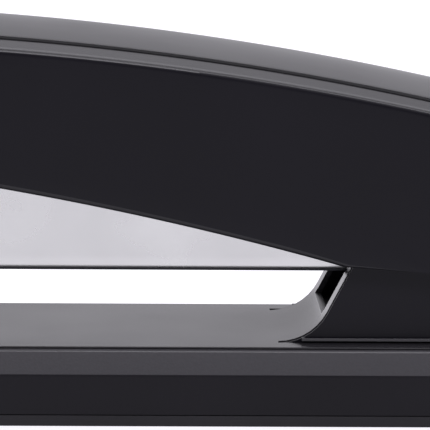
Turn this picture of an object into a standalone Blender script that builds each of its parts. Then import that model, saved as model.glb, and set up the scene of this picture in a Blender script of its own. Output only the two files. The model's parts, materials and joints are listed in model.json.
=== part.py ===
"""Full-strip desk stapler, built from its separate pieces.

Frame: the base's plan centre is the origin, on the table. +X points to the rear (hinge) end, -X to
the nose, +Z up. All sizes below are millimetres, and place_mesh turns them into metres.

Bodies: the base stands still; the magazine swings on the hinge pin; the handle swings on the same pin
above it; the pusher slides in the magazine; the anvil's button moves up and the anvil turns on it.
"""
import math

import bmesh
import bpy

MM = 0.001

# ---- driving dimensions -------------------------------------------------------------------------
LENGTH = 202.0
WIDTH = 41.0
HEIGHT = 60.0
GAP = 0.3                      # left between pieces that touch

PIVOT_X, PIVOT_Z = 85.5, 31.0  # the hinge pin's axis, along Y
PIN_R = 2.0
PIN_HOLE_R = 2.3

# base
FOOT_TOP = 1.65
SHELL_BOTTOM = FOOT_TOP + GAP
CHAMFER_START = 7.8            # height where the base's side turns into the chamfer
RIM_TOP = 11.6
DECK_TOP = 11.75
DECK_THICK = 0.85
DECK_BOTTOM = DECK_TOP - DECK_THICK
BED_TOP = DECK_BOTTOM - GAP    # the shell's face that the deck plate lies on
BED_INSET = 2.15               # recess edge, in from the base's outline
SHELL_WALL = 2.4
SHELL_ROOF = 8.2               # underside of the shell's top wall
FRONT_CORNER, REAR_CORNER = 14.0, 10.0

BASE_SCREWS_X = (67.0, 91.5)
SCREW_R = 1.2

# the deck plate's tongue, which sweeps up at the rear
SWEEP_X = 46.8
SWEEP_R = 8.2
SWEEP_DEG = 62.5
TONGUE_TOP = 24.2
TONGUE_HALF = 12.9
NOTCH_HALF = 8.9
NOTCH_BOTTOM = 15.3

# the hinge hub
HUB_HALF = 13.9
HUB_REAR = 96.5
CHEEK_IN = 12.1
CHEEK_TOP = 27.0
LIP_INSET = 0.15               # how far the lip beside the tongue lies behind the tongue's face
FLANGE = 0.7                   # how far the foot flange stands out
CRADLE_END_DEG = 286.0         # past this the hub falls away, to clear the fully opened handle
REAR_WALL_TOP = 17.4

# handle
TOP_X = -28.6                  # where the handle's back is highest
TOP_R = 472.0
HANDLE_HALF = 16.0
HANDLE_WALL = 1.8
SEAT_HALF = 12.7               # recess of the top grip
SEAT_DEPTH = 1.65
ROOF_DEPTH = 3.0               # from the crown line down to the hollow, under the seat
GROOVE = 0.4
REAR_R = TOP_R - math.hypot(PIVOT_X - TOP_X, PIVOT_Z - (HEIGHT - TOP_R))
SEAM_Z = 22.5
HEEL = (56.6, 23.55)           # lower edge's rear corner
EDGE_RISE = 0.279              # slope of the lower edge at the heel
EDGE_BOW = 0.00103             # how fast that slope eases forward of it, per millimetre
BEND_X = -18.0
BEND_REACH = 9.0
NOSE_FOOT = (-95.6, 36.9)
NOSE_X = -97.9
SLOT_HALF = 10.9
SLOT_END_DEG = 82.0
# the cover's section: distance from the middle, and fall below the crown line
SHOULDER = ((6.4, 0.3), (12.7, 1.2), (15.0, 2.05), (15.65, 2.6), (16.0, 3.35))
GRIP_FRONT = -86.0
GRIP_REAR = 80.0
GRIP_HALF = SEAT_HALF - GROOVE
GRIP_CORNER = 6.0
GRIP_CROWN = 0.75
BOSS_R = 3.2
HANDLE_SCREWS_X = (-62.0, 28.0)

# magazine
MAG_HALF = 8.4
MAG_WALL = 0.8
MAG_BOTTOM = 22.1
MAG_FRONT = -91.1
MAG_R = 8.9                    # round end about the pin
TRACK_BOTTOM = 21.6
TRACK_HALF = 7.3
TRACK_TOP = 29.5
CORE_HALF = 5.75
CORE_TOP = 28.3
ROD_Z = 25.2
MAG_RIVETS = ((64.0, 25.6), (70.5, 25.6))

# pusher
PUSHER_FRONT, PUSHER_REAR = -86.4, -69.0
PUSHER_BOTTOM, PUSHER_TOP = 23.1, 31.4
EYE_FRONT, EYE_REAR = -83.0, -74.0

# driver
DRIVER_R = 174.0               # radius of the blade's middle about the pin
DRIVER_THICK = 0.6
DRIVER_TIP = 29.3
DRIVER_RIVET_Z = 44.0
DRIVER_RIVETS_Y = (-3.2, 3.2)

# hinge bracket and frame
EAR_IN, EAR_OUT = 9.2, 10.4
EAR_R = 11.2
STEM_HALF = 4.2
BRACKET_LOW, BRACKET_HIGH = 12.3, 13.4
FRAME_IN, FRAME_OUT = 10.7, 11.7
FRAME_LINE = ((-86.75, 50.5), (BEND_X, 52.5), (60.0, 44.5))
SPRING_RIVET_X = -14.0

# anvil and its button
ANVIL_X = -84.9
ANVIL_R = 10.5
BUTTON_R = 7.0
BUTTON_TOP = 2.9
BUTTON_STEM_R = 3.2
BUTTON_BORE_R = 2.3


# ---- small geometry helpers ---------------------------------------------------------------------
def polar(cx, cz, radius, degrees):
    """A point at an angle on a circle in the XZ plane."""
    a = math.radians(degrees)
    return (cx + radius * math.cos(a), cz + radius * math.sin(a))


def arc(cx, cz, radius, start, end, steps):
    """Points along a circle in the XZ plane, both ends included."""
    return [polar(cx, cz, radius, start + (end - start) * i / steps) for i in range(steps + 1)]


def spread(start, end, steps):
    """Evenly spaced values, both ends included."""
    return [start + (end - start) * i / steps for i in range(steps + 1)]


def place_mesh(name, shells, material, origin=(0.0, 0.0, 0.0)):
    """Make one object from closed shells, each a list of rings in millimetres.

    A shell's neighbouring rings are joined by faces, and its first and last ring are filled, or joined
    to each other if the shell is marked as a loop.
    """
    bm = bmesh.new()
    for rings, looped in shells:
        made = []
        for ring in rings:
            made.append([bm.verts.new([(p[k] - origin[k]) * MM for k in range(3)]) for p in ring])
        pairs = list(zip(made, made[1:]))
        if looped:
            pairs.append((made[-1], made[0]))
        for low, high in pairs:
            count = len(low)
            for i in range(count):
                j = (i + 1) % count
                bm.faces.new((low[i], low[j], high[j], high[i]))
        if not looped:
            bm.faces.new(list(reversed(made[0])))
            bm.faces.new(made[-1])
    bmesh.ops.recalc_face_normals(bm, faces=bm.faces[:])
    split_bent_faces(bm)
    mesh = bpy.data.meshes.new(name)
    bm.to_mesh(mesh)
    bm.free()
    obj = bpy.data.objects.new(name, mesh)
    obj.location = [v * MM for v in origin]
    bpy.context.scene.collection.objects.link(obj)
    if material is not None:
        mesh.materials.append(material)
    return obj


def split_bent_faces(bm, tolerance=1e-7):
    """Turn each quad that isn't flat into two triangles, so that every face is truly flat."""
    bent = []
    for face in bm.faces:
        if len(face.verts) == 4:
            a, b, c, d = (v.co for v in face.verts)
            normal = (b - a).cross(c - a)
            if normal.length > 0.0 and abs((d - a).dot(normal.normalized())) > tolerance:
                bent.append(face)
    bmesh.ops.triangulate(bm, faces=bent)


def slab(outline, y_low, y_high):
    """A shell: an XZ outline carried from one Y to another."""
    return ([[(x, y, z) for x, z in outline] for y in (y_low, y_high)], False)


def plate(outline, z_low, z_high):
    """A shell: an XY outline carried from one Z to another."""
    return ([[(x, y, z) for x, y in outline] for z in (z_low, z_high)], False)


def block(x0, x1, y0, y1, z0, z1):
    """A rectangular shell."""
    return slab([(x0, z0), (x1, z0), (x1, z1), (x0, z1)], y0, y1)


def turned(axis, centre, profile, segments=32):
    """A round shell: rings of (position along the axis, radius) about a line through centre."""
    rings = []
    for along, radius in profile:
        ring = []
        for i in range(segments):
            a = 2 * math.pi * i / segments
            u, v = radius * math.cos(a), radius * math.sin(a)
            if axis == "X":
                ring.append((along, centre[0] + u, centre[1] + v))
            elif axis == "Y":
                ring.append((centre[0] + u, along, centre[1] + v))
            else:
                ring.append((centre[0] + u, centre[1] + v, along))
        rings.append(ring)
    return rings


def rod(axis, centre, radius, start, end, segments=32):
    """A plain cylinder shell; centre holds the two coordinates across the axis."""
    return (turned(axis, centre, [(start, radius), (end, radius)], segments), False)


def tube(axis, centre, inner, outer, start, end, segments=32):
    """A ring or sleeve shell."""
    profile = [(start, inner), (start, outer), (end, outer), (end, inner)]
    return (turned(axis, centre, profile, segments), True)


def rivet(axis, centre, shank, head, start, end, head_thick):
    """A shank with a flat head at each end, as one shell."""
    profile = [(start, head), (start + head_thick, head), (start + head_thick, shank),
               (end - head_thick, shank), (end - head_thick, head), (end, head)]
    return (turned(axis, centre, profile, 24), False)


def carve(obj, name, shells, operation="DIFFERENCE"):
    """Cut closed shells out of an object, or add them to it, with an exact Boolean."""
    cutter = place_mesh(name, shells, None)
    cutter.hide_render = True
    cutter.display_type = "WIRE"
    modifier = obj.modifiers.new(name, "BOOLEAN")
    modifier.operation = operation
    modifier.solver = "EXACT"
    modifier.object = cutter
    return obj


def smooth(obj, degrees=30.0):
    """Shade a round piece smooth, with its real edges kept sharp."""
    obj.data.shade_smooth()
    obj.data.set_sharp_from_angle(angle=math.radians(degrees))
    return obj


def finish(name, color, roughness, metallic=0.0):
    """A Principled material."""
    material = bpy.data.materials.new(name)
    material.use_nodes = True
    shader = material.node_tree.nodes["Principled BSDF"]
    shader.inputs["Base Color"].default_value = (*color, 1.0)
    shader.inputs["Roughness"].default_value = roughness
    shader.inputs["Metallic"].default_value = metallic
    return material


# ---- base ---------------------------------------------------------------------------------------
def base_outline(inset, steps=8):
    """The base's rounded plan outline, drawn in by an inset, as XY points."""
    half_x, half_y = LENGTH / 2 - inset, WIDTH / 2 - inset
    corners = [(1, 1, REAR_CORNER), (-1, 1, FRONT_CORNER), (-1, -1, FRONT_CORNER), (1, -1, REAR_CORNER)]
    points = []
    for index, (sx, sy, radius) in enumerate(corners):
        r = radius - inset
        cx, cy = sx * (half_x - r), sy * (half_y - r)
        for k in range(steps + 1):
            a = math.radians(90.0 * (index + k / steps))
            points.append((cx + r * math.cos(a), cy + r * math.sin(a)))
    return points


def sweep_line(offset, top=TONGUE_TOP, ahead=0.0, steps=7):
    """The tongue's side line, a distance below its upper face: an arc and then a straight rise.

    It starts a distance ahead of the arc's lowest point.
    """
    centre_z = DECK_TOP + SWEEP_R
    radius = SWEEP_R + offset
    start = -90.0 + math.degrees(math.asin(ahead / radius))
    curve = arc(SWEEP_X, centre_z, radius, start, -90.0 + SWEEP_DEG, steps)
    slope = math.radians(SWEEP_DEG)
    rise = (top - curve[-1][1]) / math.sin(slope)
    return curve + [(curve[-1][0] + rise * math.cos(slope), top)]


def build_base_shell(material):
    """Open-bottomed shell with a chamfered edge, a bed for the deck plate, and bosses inside."""
    steps = [(SHELL_WALL, SHELL_ROOF), (SHELL_WALL, SHELL_BOTTOM), (0.0, SHELL_BOTTOM),
             (0.0, CHAMFER_START), (1.7, 11.25), (1.85, RIM_TOP), (BED_INSET, RIM_TOP),
             (BED_INSET, BED_TOP)]
    rings = [[(x, y, z) for x, y in base_outline(inset)] for inset, z in steps]
    shell = place_mesh("base_shell", [(rings, False)], material)
    bosses = [rod("Z", (ANVIL_X, 0.0), 12.6, 6.4, 9.4, 48)]
    bosses += [rod("Z", (x, 0.0), 4.2, 4.4, 9.4) for x in BASE_SCREWS_X]
    carve(shell, "base_bosses", bosses, "UNION")
    well = [(5.0, BUTTON_STEM_R + GAP), (9.9, BUTTON_STEM_R + GAP), (9.9, ANVIL_R + GAP), (13.0, ANVIL_R + GAP)]
    bores = [(turned("Z", (ANVIL_X, 0.0), well, 48), False)]
    bores += [rod("Z", (x, 0.0), SCREW_R + GAP, 3.0, 13.0, 20) for x in BASE_SCREWS_X]
    carve(shell, "base_bores", bores)
    return smooth(shell)


def build_rubber_foot(material):
    """Full-length rubber sole with a hole for the anvil's button."""
    rings = [[(x, y, z) for x, y in base_outline(inset)] for inset, z in ((0.35, 0.0), (0.0, 0.35),
                                                                      (0.0, FOOT_TOP))]
    foot = place_mesh("rubber_foot", [(rings, False)], material)
    carve(foot, "foot_hole", [rod("Z", (ANVIL_X, 0.0), BUTTON_R + 1.2, -1.0, 3.0, 40)])
    return smooth(foot)


def build_deck_plate(material):
    """Sheet-metal deck, slit round a tongue that sweeps up to the hinge and is notched in its middle."""
    deck = place_mesh("deck_plate", [plate(base_outline(BED_INSET + GAP), DECK_BOTTOM, DECK_TOP)], material)
    carve(deck, "deck_well", [block(SWEEP_X, HUB_REAR + GAP, -HUB_HALF - GAP, HUB_HALF + GAP, 5.0, 16.0)])
    upper = sweep_line(0.0)
    lower = sweep_line(DECK_THICK)
    root = [(SWEEP_X - 3.0, DECK_TOP)] + upper + list(reversed(lower)) + [(SWEEP_X - 3.0, DECK_BOTTOM)]
    carve(deck, "deck_tongue", [slab(root, -TONGUE_HALF, TONGUE_HALF)], "UNION")
    holes = [block(SWEEP_X, 70.0, -NOTCH_HALF, NOTCH_HALF, NOTCH_BOTTOM, 30.0),
             rod("Z", (ANVIL_X, 0.0), ANVIL_R + GAP, 9.0, 13.0, 48)]
    carve(deck, "deck_holes", holes)
    return smooth(deck)


def build_rear_hub(material):
    """Hinge hub: two cheeks, a web and a rear wall round a pocket, hollowed for the handle's round end.

    A lip on each cheek runs forward beside the tongue's edge.
    """
    behind = [p for p in sweep_line(DECK_THICK + GAP, CHEEK_TOP + 6.0) if p[1] > DECK_BOTTOM]
    cradle_r = REAR_R + 0.4
    start = 180.0 + math.degrees(math.asin((PIVOT_Z - CHEEK_TOP) / cradle_r))
    cradle = arc(PIVOT_X, PIVOT_Z, cradle_r, start, CRADLE_END_DEG, 14)
    outline = [(SWEEP_X + GAP, DECK_BOTTOM)] + sweep_line(LIP_INSET, CHEEK_TOP, GAP) + cradle
    outline += [(HUB_REAR - 2.0, REAR_WALL_TOP), (HUB_REAR, REAR_WALL_TOP), (HUB_REAR, DECK_BOTTOM)]
    hub = place_mesh("rear_hub", [slab(outline, -HUB_HALF, HUB_HALF)], material)
    flange = block(behind[0][0] + 0.6, HUB_REAR + FLANGE, -HUB_HALF - FLANGE, HUB_HALF + FLANGE,
                   DECK_TOP + GAP, DECK_TOP + GAP + 0.45)
    carve(hub, "hub_flange", [flange], "UNION")
    bay = [(SWEEP_X - 6.0, 5.0), (behind[0][0], 5.0)] + behind + [(SWEEP_X - 6.0, CHEEK_TOP + 6.0)]
    carve(hub, "hub_tongue_bay", [slab(bay, -TONGUE_HALF - GAP, TONGUE_HALF + GAP)])
    pocket = [(62.0, 12.0), (HUB_REAR - 1.8, 12.0), (HUB_REAR - 1.8, 45.0), (40.0, 45.0), (40.0, 14.9),
              (62.0, 14.9)]
    carve(hub, "hub_pocket", [slab(pocket, -CHEEK_IN, CHEEK_IN)])
    carve(hub, "hub_bores", [rod("Z", (x, 0.0), SCREW_R + GAP, 5.0, 13.0, 20) for x in BASE_SCREWS_X])
    return smooth(hub)


def build_hinge_bracket(material):
    """Steel bracket: a floor, two ears that carry the pin, and a round wall behind the magazine's end."""
    disc = arc(PIVOT_X, PIVOT_Z, EAR_R, -118.0, 35.0, 20)
    stem = [(PIVOT_X + STEM_HALF, BRACKET_LOW), (PIVOT_X - STEM_HALF, BRACKET_LOW)]
    hip = polar(PIVOT_X, PIVOT_Z, EAR_R, -90.0 - math.degrees(math.asin(STEM_HALF / EAR_R)))
    crown = arc(PIVOT_X, PIVOT_Z, 6.6, 60.0, 200.0, 10)
    ear_disc = [p for p in disc if p[0] > PIVOT_X + STEM_HALF or p[1] > PIVOT_Z]
    outline = [stem[1], stem[0]] + ear_disc + crown + [hip]
    ears = slab(outline, -EAR_OUT, EAR_OUT)
    bracket = place_mesh("hinge_bracket", [ears], material)
    foot = block(64.5, 94.3, -EAR_OUT, EAR_OUT, BRACKET_LOW, BRACKET_HIGH)
    carve(bracket, "bracket_floor", [foot], "UNION")
    inner_r = EAR_R - 1.0
    bay = [(40.0, BRACKET_HIGH)] + [(PIVOT_X + 40.0, BRACKET_HIGH), (PIVOT_X + 40.0, 17.0)]
    rear_wall = arc(PIVOT_X, PIVOT_Z, inner_r, -62.0, 36.0, 14)
    bay += [polar(PIVOT_X, PIVOT_Z, EAR_R + 1.5, -62.0)] + rear_wall
    bay += [polar(PIVOT_X, PIVOT_Z, EAR_R + 1.5, 36.0), (PIVOT_X + 10.0, 50.0), (40.0, 50.0)]
    carve(bracket, "bracket_bay", [slab(bay, -EAR_IN, EAR_IN)])
    holes = [rod("Y", (PIVOT_X, PIVOT_Z), PIN_HOLE_R, -20.0, 20.0, 40)]
    holes += [rod("Z", (x, 0.0), SCREW_R + GAP, 10.0, 15.5, 20) for x in BASE_SCREWS_X]
    carve(bracket, "bracket_holes", holes)
    return smooth(bracket)


def build_hinge_pin(material):
    """Hinge pin with a small chamfer at each end."""
    profile = [(-13.2, PIN_R - 0.4), (-12.8, PIN_R), (12.8, PIN_R), (13.2, PIN_R - 0.4)]
    pin = place_mesh("hinge_pin", [(turned("Y", (0.0, 0.0), profile, 40), False)], material)
    pin.location = (PIVOT_X * MM, 0.0, PIVOT_Z * MM)
    return smooth(pin)


def build_pin_rings(material):
    """One retaining ring outside each frame arm."""
    for name, y0 in (("pin_ring_left", -12.75), ("pin_ring_right", 12.05)):
        ring = tube("Y", (PIVOT_X, PIVOT_Z), PIN_HOLE_R, 4.0, y0, y0 + 0.7, 40)
        smooth(place_mesh(name, [ring], material))


def build_base_spring(material):
    """Leaf under the magazine's tail: flat where it is held, curved up to touch the track."""
    thick = 0.5
    held = BRACKET_HIGH + GAP + thick / 2
    touch = TRACK_BOTTOM - GAP - thick / 2
    line = [(81.0, held)]
    line += [(75.0 - 12.0 * t, held + (touch - held) * math.sin(math.pi / 2 * t) ** 1.5)
             for t in spread(0.0, 1.0, 10)]
    return smooth(place_mesh("base_spring", [strip(line, thick, 4.0)], material), 40.0)


def strip(line, thick, half_width):
    """A bent strip: a line in XZ given a thickness across itself and a width along Y."""
    upper, lower = [], []
    for i, (x, z) in enumerate(line):
        ahead = line[min(i + 1, len(line) - 1)]
        behind = line[max(i - 1, 0)]
        tx, tz = ahead[0] - behind[0], ahead[1] - behind[1]
        size = math.hypot(tx, tz)
        nx, nz = -tz / size * thick / 2, tx / size * thick / 2
        upper.append((x + nx, z + nz))
        lower.append((x - nx, z - nz))
    return slab(upper + list(reversed(lower)), -half_width, half_width)


def build_base_screws(material):
    """Two pan-head screws that hold the bracket and the hub down on the shell."""
    profile = [(2.3, 2.2), (2.7, 2.7), (4.1, 2.7), (4.1, SCREW_R), (14.4, SCREW_R), (14.8, SCREW_R - 0.4)]
    for name, x in zip(("base_screw_front", "base_screw_rear"), BASE_SCREWS_X):
        smooth(place_mesh(name, [(turned("Z", (x, 0.0), profile, 20), False)], material))


def build_anvil_plate(material):
    """Round anvil with a clinching pair and a pinning pair of pockets, and a stub shaft below."""
    profile = [(8.6, 2.0), (10.7, 2.0), (10.7, ANVIL_R), (11.5, ANVIL_R), (11.6, ANVIL_R - 0.1)]
    anvil = place_mesh("anvil_plate", [(turned("Z", (0.0, 0.0), profile, 48), False)], material)
    anvil.location = (ANVIL_X * MM, 0.0, 0.0)
    pockets = []
    for side, inner, outer in ((-1, 0.7, 6.6), (1, 4.6, 8.6)):
        x = ANVIL_X + side * 2.8
        pockets += [block(x - 0.9, x + 0.9, s * inner, s * outer, 11.2, 13.0) for s in (-1, 1)]
    carve(anvil, "anvil_pockets", pockets)
    return smooth(anvil)


def build_anvil_button(material):
    """Button under the base with a hollow stem that carries the anvil's stub."""
    profile = [(0.55, BUTTON_R - 0.6), (1.1, BUTTON_R), (BUTTON_TOP, BUTTON_R), (BUTTON_TOP, BUTTON_STEM_R),
               (10.4, BUTTON_STEM_R), (10.4, BUTTON_BORE_R), (8.2, BUTTON_BORE_R)]
    button = place_mesh("anvil_button", [(turned("Z", (0.0, 0.0), profile, 40), False)], material)
    button.location = (ANVIL_X * MM, 0.0, 0.0)
    return smooth(button)


def coil(axis, centre, radius, wire, start, end, turns, steps=12, sides=5):
    """A helical wire shell along an axis."""
    rings = []
    count = int(turns * steps)
    pitch = (end - start) / turns
    lean = math.atan2(pitch, 2 * math.pi * radius)
    for i in range(count + 1):
        a = 2 * math.pi * i / steps
        along = start + pitch * i / steps
        ring = []
        for k in range(sides):
            b = 2 * math.pi * k / sides
            out = radius + wire * math.cos(b)
            up = wire * math.sin(b)
            u = out * math.cos(a) + up * math.sin(lean) * math.sin(a)
            v = out * math.sin(a) - up * math.sin(lean) * math.cos(a)
            w = along + up * math.cos(lean)
            if axis == "X":
                ring.append((w, centre[0] + u, centre[1] + v))
            else:
                ring.append((centre[0] + u, centre[1] + v, w))
        rings.append(ring)
    return (rings, False)


def build_anvil_spring(material):
    """Coil that pushes the button down."""
    shell = coil("Z", (ANVIL_X, 0.0), 4.3, 0.35, BUTTON_TOP + 0.7, 5.7, 1.6, 16)
    return smooth(place_mesh("anvil_spring", [shell], material), 60.0)


# ---- magazine -----------------------------------------------------------------------------------
def magazine_top(x):
    """Height of the housing's upper edge."""
    if x < BEND_X:
        return 37.4 + (x - MAG_FRONT) / (BEND_X - MAG_FRONT) * 4.4
    return 41.8 - (x - BEND_X) * 0.034


def build_magazine_housing(material):
    """Bright steel housing: two side walls, a nose wall and a bridge over the rear."""
    tail = arc(PIVOT_X, PIVOT_Z, MAG_R, -90.0, 84.0, 18)
    outline = [(MAG_FRONT + 0.6, MAG_BOTTOM)] + tail
    outline += [(PIVOT_X - 12.0, magazine_top(PIVOT_X - 12.0)), (BEND_X, magazine_top(BEND_X)),
                (MAG_FRONT, magazine_top(MAG_FRONT)), (MAG_FRONT, MAG_BOTTOM + 0.6)]
    housing = place_mesh("magazine_housing", [slab(outline, -MAG_HALF, MAG_HALF)], material)
    bridge_front, bridge_rear = 41.0, 62.0
    under = magazine_top(bridge_rear) - 1.2
    room = [(MAG_FRONT + MAG_WALL, 15.0), (120.0, 15.0), (120.0, 50.0), (bridge_rear, 50.0),
            (bridge_rear, under), (bridge_front, under), (bridge_front, 50.0), (MAG_FRONT + MAG_WALL, 50.0)]
    inner = MAG_HALF - MAG_WALL
    carve(housing, "housing_room", [slab(room, -inner, inner)])
    holes = [rod("Y", (PIVOT_X, PIVOT_Z), PIN_HOLE_R, -20.0, 20.0, 40)]
    holes += [rod("Y", spot, 1.3, -20.0, 20.0, 20) for spot in MAG_RIVETS]
    carve(housing, "housing_holes", holes)
    return smooth(housing)


def build_staple_track(material):
    """Dark U channel that the staples' legs run in."""
    rear = 74.0
    front = PIVOT_X - DRIVER_R + 0.7
    inner = TRACK_HALF - 0.5
    channel = block(front, rear, -TRACK_HALF, TRACK_HALF, TRACK_BOTTOM, TRACK_TOP)
    track = place_mesh("staple_track", [channel], material)
    carve(track, "track_channel", [block(front - 5, rear + 5, -inner, inner, TRACK_BOTTOM + 0.8, TRACK_TOP + 5)])
    carve(track, "track_holes", [rod("Y", spot, 1.3, -20.0, 20.0, 20) for spot in MAG_RIVETS])
    return track


def build_track_core(material):
    """Inner rail the staples straddle, with a slot along its top for the pusher's stem."""
    front = PIVOT_X - DRIVER_R + 0.7
    rear = 44.0
    low = TRACK_BOTTOM + 0.8 + GAP
    core = place_mesh("track_core", [block(front, rear, -CORE_HALF, CORE_HALF, low, CORE_TOP)], material)
    inner = CORE_HALF - 0.75
    hollow = block(front + 0.8, rear - 0.8, -inner, inner, low - 2.0, CORE_TOP - 0.8)
    carve(core, "core_hollow", [hollow])
    carve(core, "core_slot", [block(front + 0.8, rear - 0.8, -1.6, 1.6, CORE_TOP - 1.5, CORE_TOP + 2.0)])
    return core


def build_front_guide(material):
    """Curved plate in front of the driver's slot."""
    inner = DRIVER_R + DRIVER_THICK / 2 + 0.35
    outline = driver_arc(inner, 21.9, 33.4) + list(reversed(driver_arc(inner + 0.8, 21.9, 33.4)))
    return smooth(place_mesh("front_guide", [slab(outline, -TRACK_HALF, TRACK_HALF)], material))


def driver_arc(radius, z_low, z_high, steps=8):
    """Points on a circle about the pin, ahead of it, between two heights."""
    return [(PIVOT_X - math.sqrt(radius ** 2 - (z - PIVOT_Z) ** 2), z) for z in spread(z_low, z_high, steps)]


def build_guide_rod(material):
    """Rod inside the core that the pusher and its spring run on."""
    front = PIVOT_X - DRIVER_R + 0.7 + 0.8 + GAP
    return smooth(place_mesh("guide_rod", [rod("X", (0.0, ROD_Z), 1.0, front, 44.0 - 0.8 - GAP, 16)], material))


def build_pusher_spring(material):
    """Compression spring behind the pusher's eye."""
    shell = coil("X", (0.0, ROD_Z), 1.8, 0.32, EYE_REAR + 0.7, 42.2, 20, 10, 4)
    return smooth(place_mesh("pusher_spring", [shell], material), 60.0)


def build_pusher(material):
    """Saddle over the core with thin legs, a stem through the slot, and an eye on the rod."""
    leg_in, leg_out = CORE_HALF + GAP, TRACK_HALF - 0.5 - GAP
    low, top = PUSHER_BOTTOM, PUSHER_TOP
    seat = CORE_TOP + GAP
    saddle = [(-leg_out, low), (-leg_in, low), (-leg_in, seat), (leg_in, seat), (leg_in, low), (leg_out, low),
              (leg_out, top - 1.2), (leg_out - 1.2, top), (1.2 - leg_out, top), (-leg_out, top - 1.2)]
    rings = [[(x, y, z) for y, z in saddle] for x in (PUSHER_FRONT, PUSHER_REAR)]
    pusher = place_mesh("pusher", [(rings, False)], material)
    eye = [(-1.2, seat + 1.0), (-1.2, 27.2), (-2.6, 27.2), (-2.6, 23.2), (2.6, 23.2), (2.6, 27.2), (1.2, 27.2),
           (1.2, seat + 1.0)]
    carve(pusher, "pusher_eye", [([[(x, y, z) for y, z in eye] for x in (EYE_FRONT, EYE_REAR)], False)], "UNION")
    carve(pusher, "pusher_bore", [rod("X", (0.0, ROD_Z), 1.3, -90.0, -60.0, 24)])
    return smooth(pusher)


def build_pivot_bush(material):
    """Spacer sleeve on the pin between the housing's walls."""
    half = MAG_HALF - MAG_WALL - GAP
    return smooth(place_mesh("pivot_bush", [tube("Y", (PIVOT_X, PIVOT_Z), PIN_HOLE_R, 3.5, -half, half, 40)],
                             material))


def build_magazine_rivets(material):
    """Two rivets that hold the track between the housing's walls."""
    return [smooth(place_mesh(name, [rivet("Y", spot, 1.0, 1.9, -8.95, 8.95, 0.25)], material))
            for name, spot in zip(("magazine_rivet_front", "magazine_rivet_rear"), MAG_RIVETS)]


# ---- handle -------------------------------------------------------------------------------------
def back_height(x, depth=0.0):
    """Height of the handle's back, or of a line a depth below it."""
    return HEIGHT - TOP_R + math.sqrt((TOP_R - depth) ** 2 - (x - TOP_X) ** 2)


def tangent_degrees():
    """Angle about the pin at which the back runs into the round rear end."""
    return math.degrees(math.atan2(PIVOT_Z - (HEIGHT - TOP_R), PIVOT_X - TOP_X))


def nose_curve(steps):
    """Cubic curve up the nose, from its lower front to the back."""
    top_x = -80.0
    z = back_height(top_x)
    points = [(NOSE_X + 0.9, NOSE_FOOT[1] + 1.6), (NOSE_X - 1.2, 50.2), (top_x - 11.0, z - 1.1), (top_x, z)]
    curve = []
    for t in spread(0.0, 1.0, steps):
        s = 1.0 - t
        weights = (s ** 3, 3 * s * s * t, 3 * s * t * t, t ** 3)
        curve.append(tuple(sum(w * p[k] for w, p in zip(weights, points)) for k in range(2)))
    return curve


def crown_line(inset, rear_end, faded=False):
    """Nose, back and round rear end, drawn in by an inset, clockwise seen from -Y.

    A faded inset runs out to nothing at both ends, where the line meets the lower edge.
    """
    nose = nose_curve(10)
    line = []
    for i, (x, z) in enumerate(nose[:-1]):
        ahead, behind = nose[i + 1], nose[max(i - 1, 0)]
        tx, tz = ahead[0] - behind[0], ahead[1] - behind[1]
        share = inset / math.hypot(tx, tz) * (min(1.0, i / 3.0) if faded else 1.0)
        line.append((x + tz * share, z - tx * share))
    turn = tangent_degrees()
    back_end = polar(PIVOT_X, PIVOT_Z, REAR_R, turn)[0]
    line += [(x, back_height(x, inset)) for x in spread(nose[-1][0], back_end, 20)[:-1]]
    steps = 22
    for i, angle in enumerate(spread(turn, rear_end, steps)):
        share = min(1.0, (steps - i) / 8.0) if faded else 1.0
        line.append(polar(PIVOT_X, PIVOT_Z, REAR_R - inset * share, angle))
    return line


def seam_degrees(radius):
    """Angle about the pin at which the round end meets the seam with the hub."""
    return -180.0 + math.degrees(math.asin((PIVOT_Z - SEAM_Z) / radius))


def edge_run(x):
    """Height of the lower edge between the bend and the heel, where it bows gently."""
    run = HEEL[0] - x
    return HEEL[1] + EDGE_RISE * run - EDGE_BOW * run * run


def lower_edge():
    """Lower edge from the heel forward to the nose, with a rounded bend."""
    start_x = BEND_X + BEND_REACH
    points = [(x, edge_run(x)) for x in spread(HEEL[0], start_x, 8)[:-1]]
    slope = EDGE_RISE - 2 * EDGE_BOW * (HEEL[0] - start_x)
    bend_z = edge_run(start_x) + BEND_REACH * slope
    ahead = (bend_z - NOSE_FOOT[1]) / (BEND_X - NOSE_FOOT[0])
    start = (start_x, edge_run(start_x))
    end = (BEND_X - BEND_REACH, bend_z - BEND_REACH * ahead)
    for t in spread(0.0, 1.0, 5):
        s = 1.0 - t
        points.append((s * s * start[0] + 2 * s * t * BEND_X + t * t * end[0],
                       s * s * start[1] + 2 * s * t * bend_z + t * t * end[1]))
    points.append(NOSE_FOOT)
    return points


def nose_rounding(x, y):
    """How far the nose is drawn back towards the handle's sides, seen from above."""
    side = max(0.0, abs(y) - 6.0) / (HANDLE_HALF - 6.0)
    reach = max(0.0, (-60.0 - x) / (-60.0 - NOSE_X))
    return 7.0 * (1.0 - math.sqrt(max(0.0, 1.0 - 0.92 * side * side))) * reach ** 2


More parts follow.
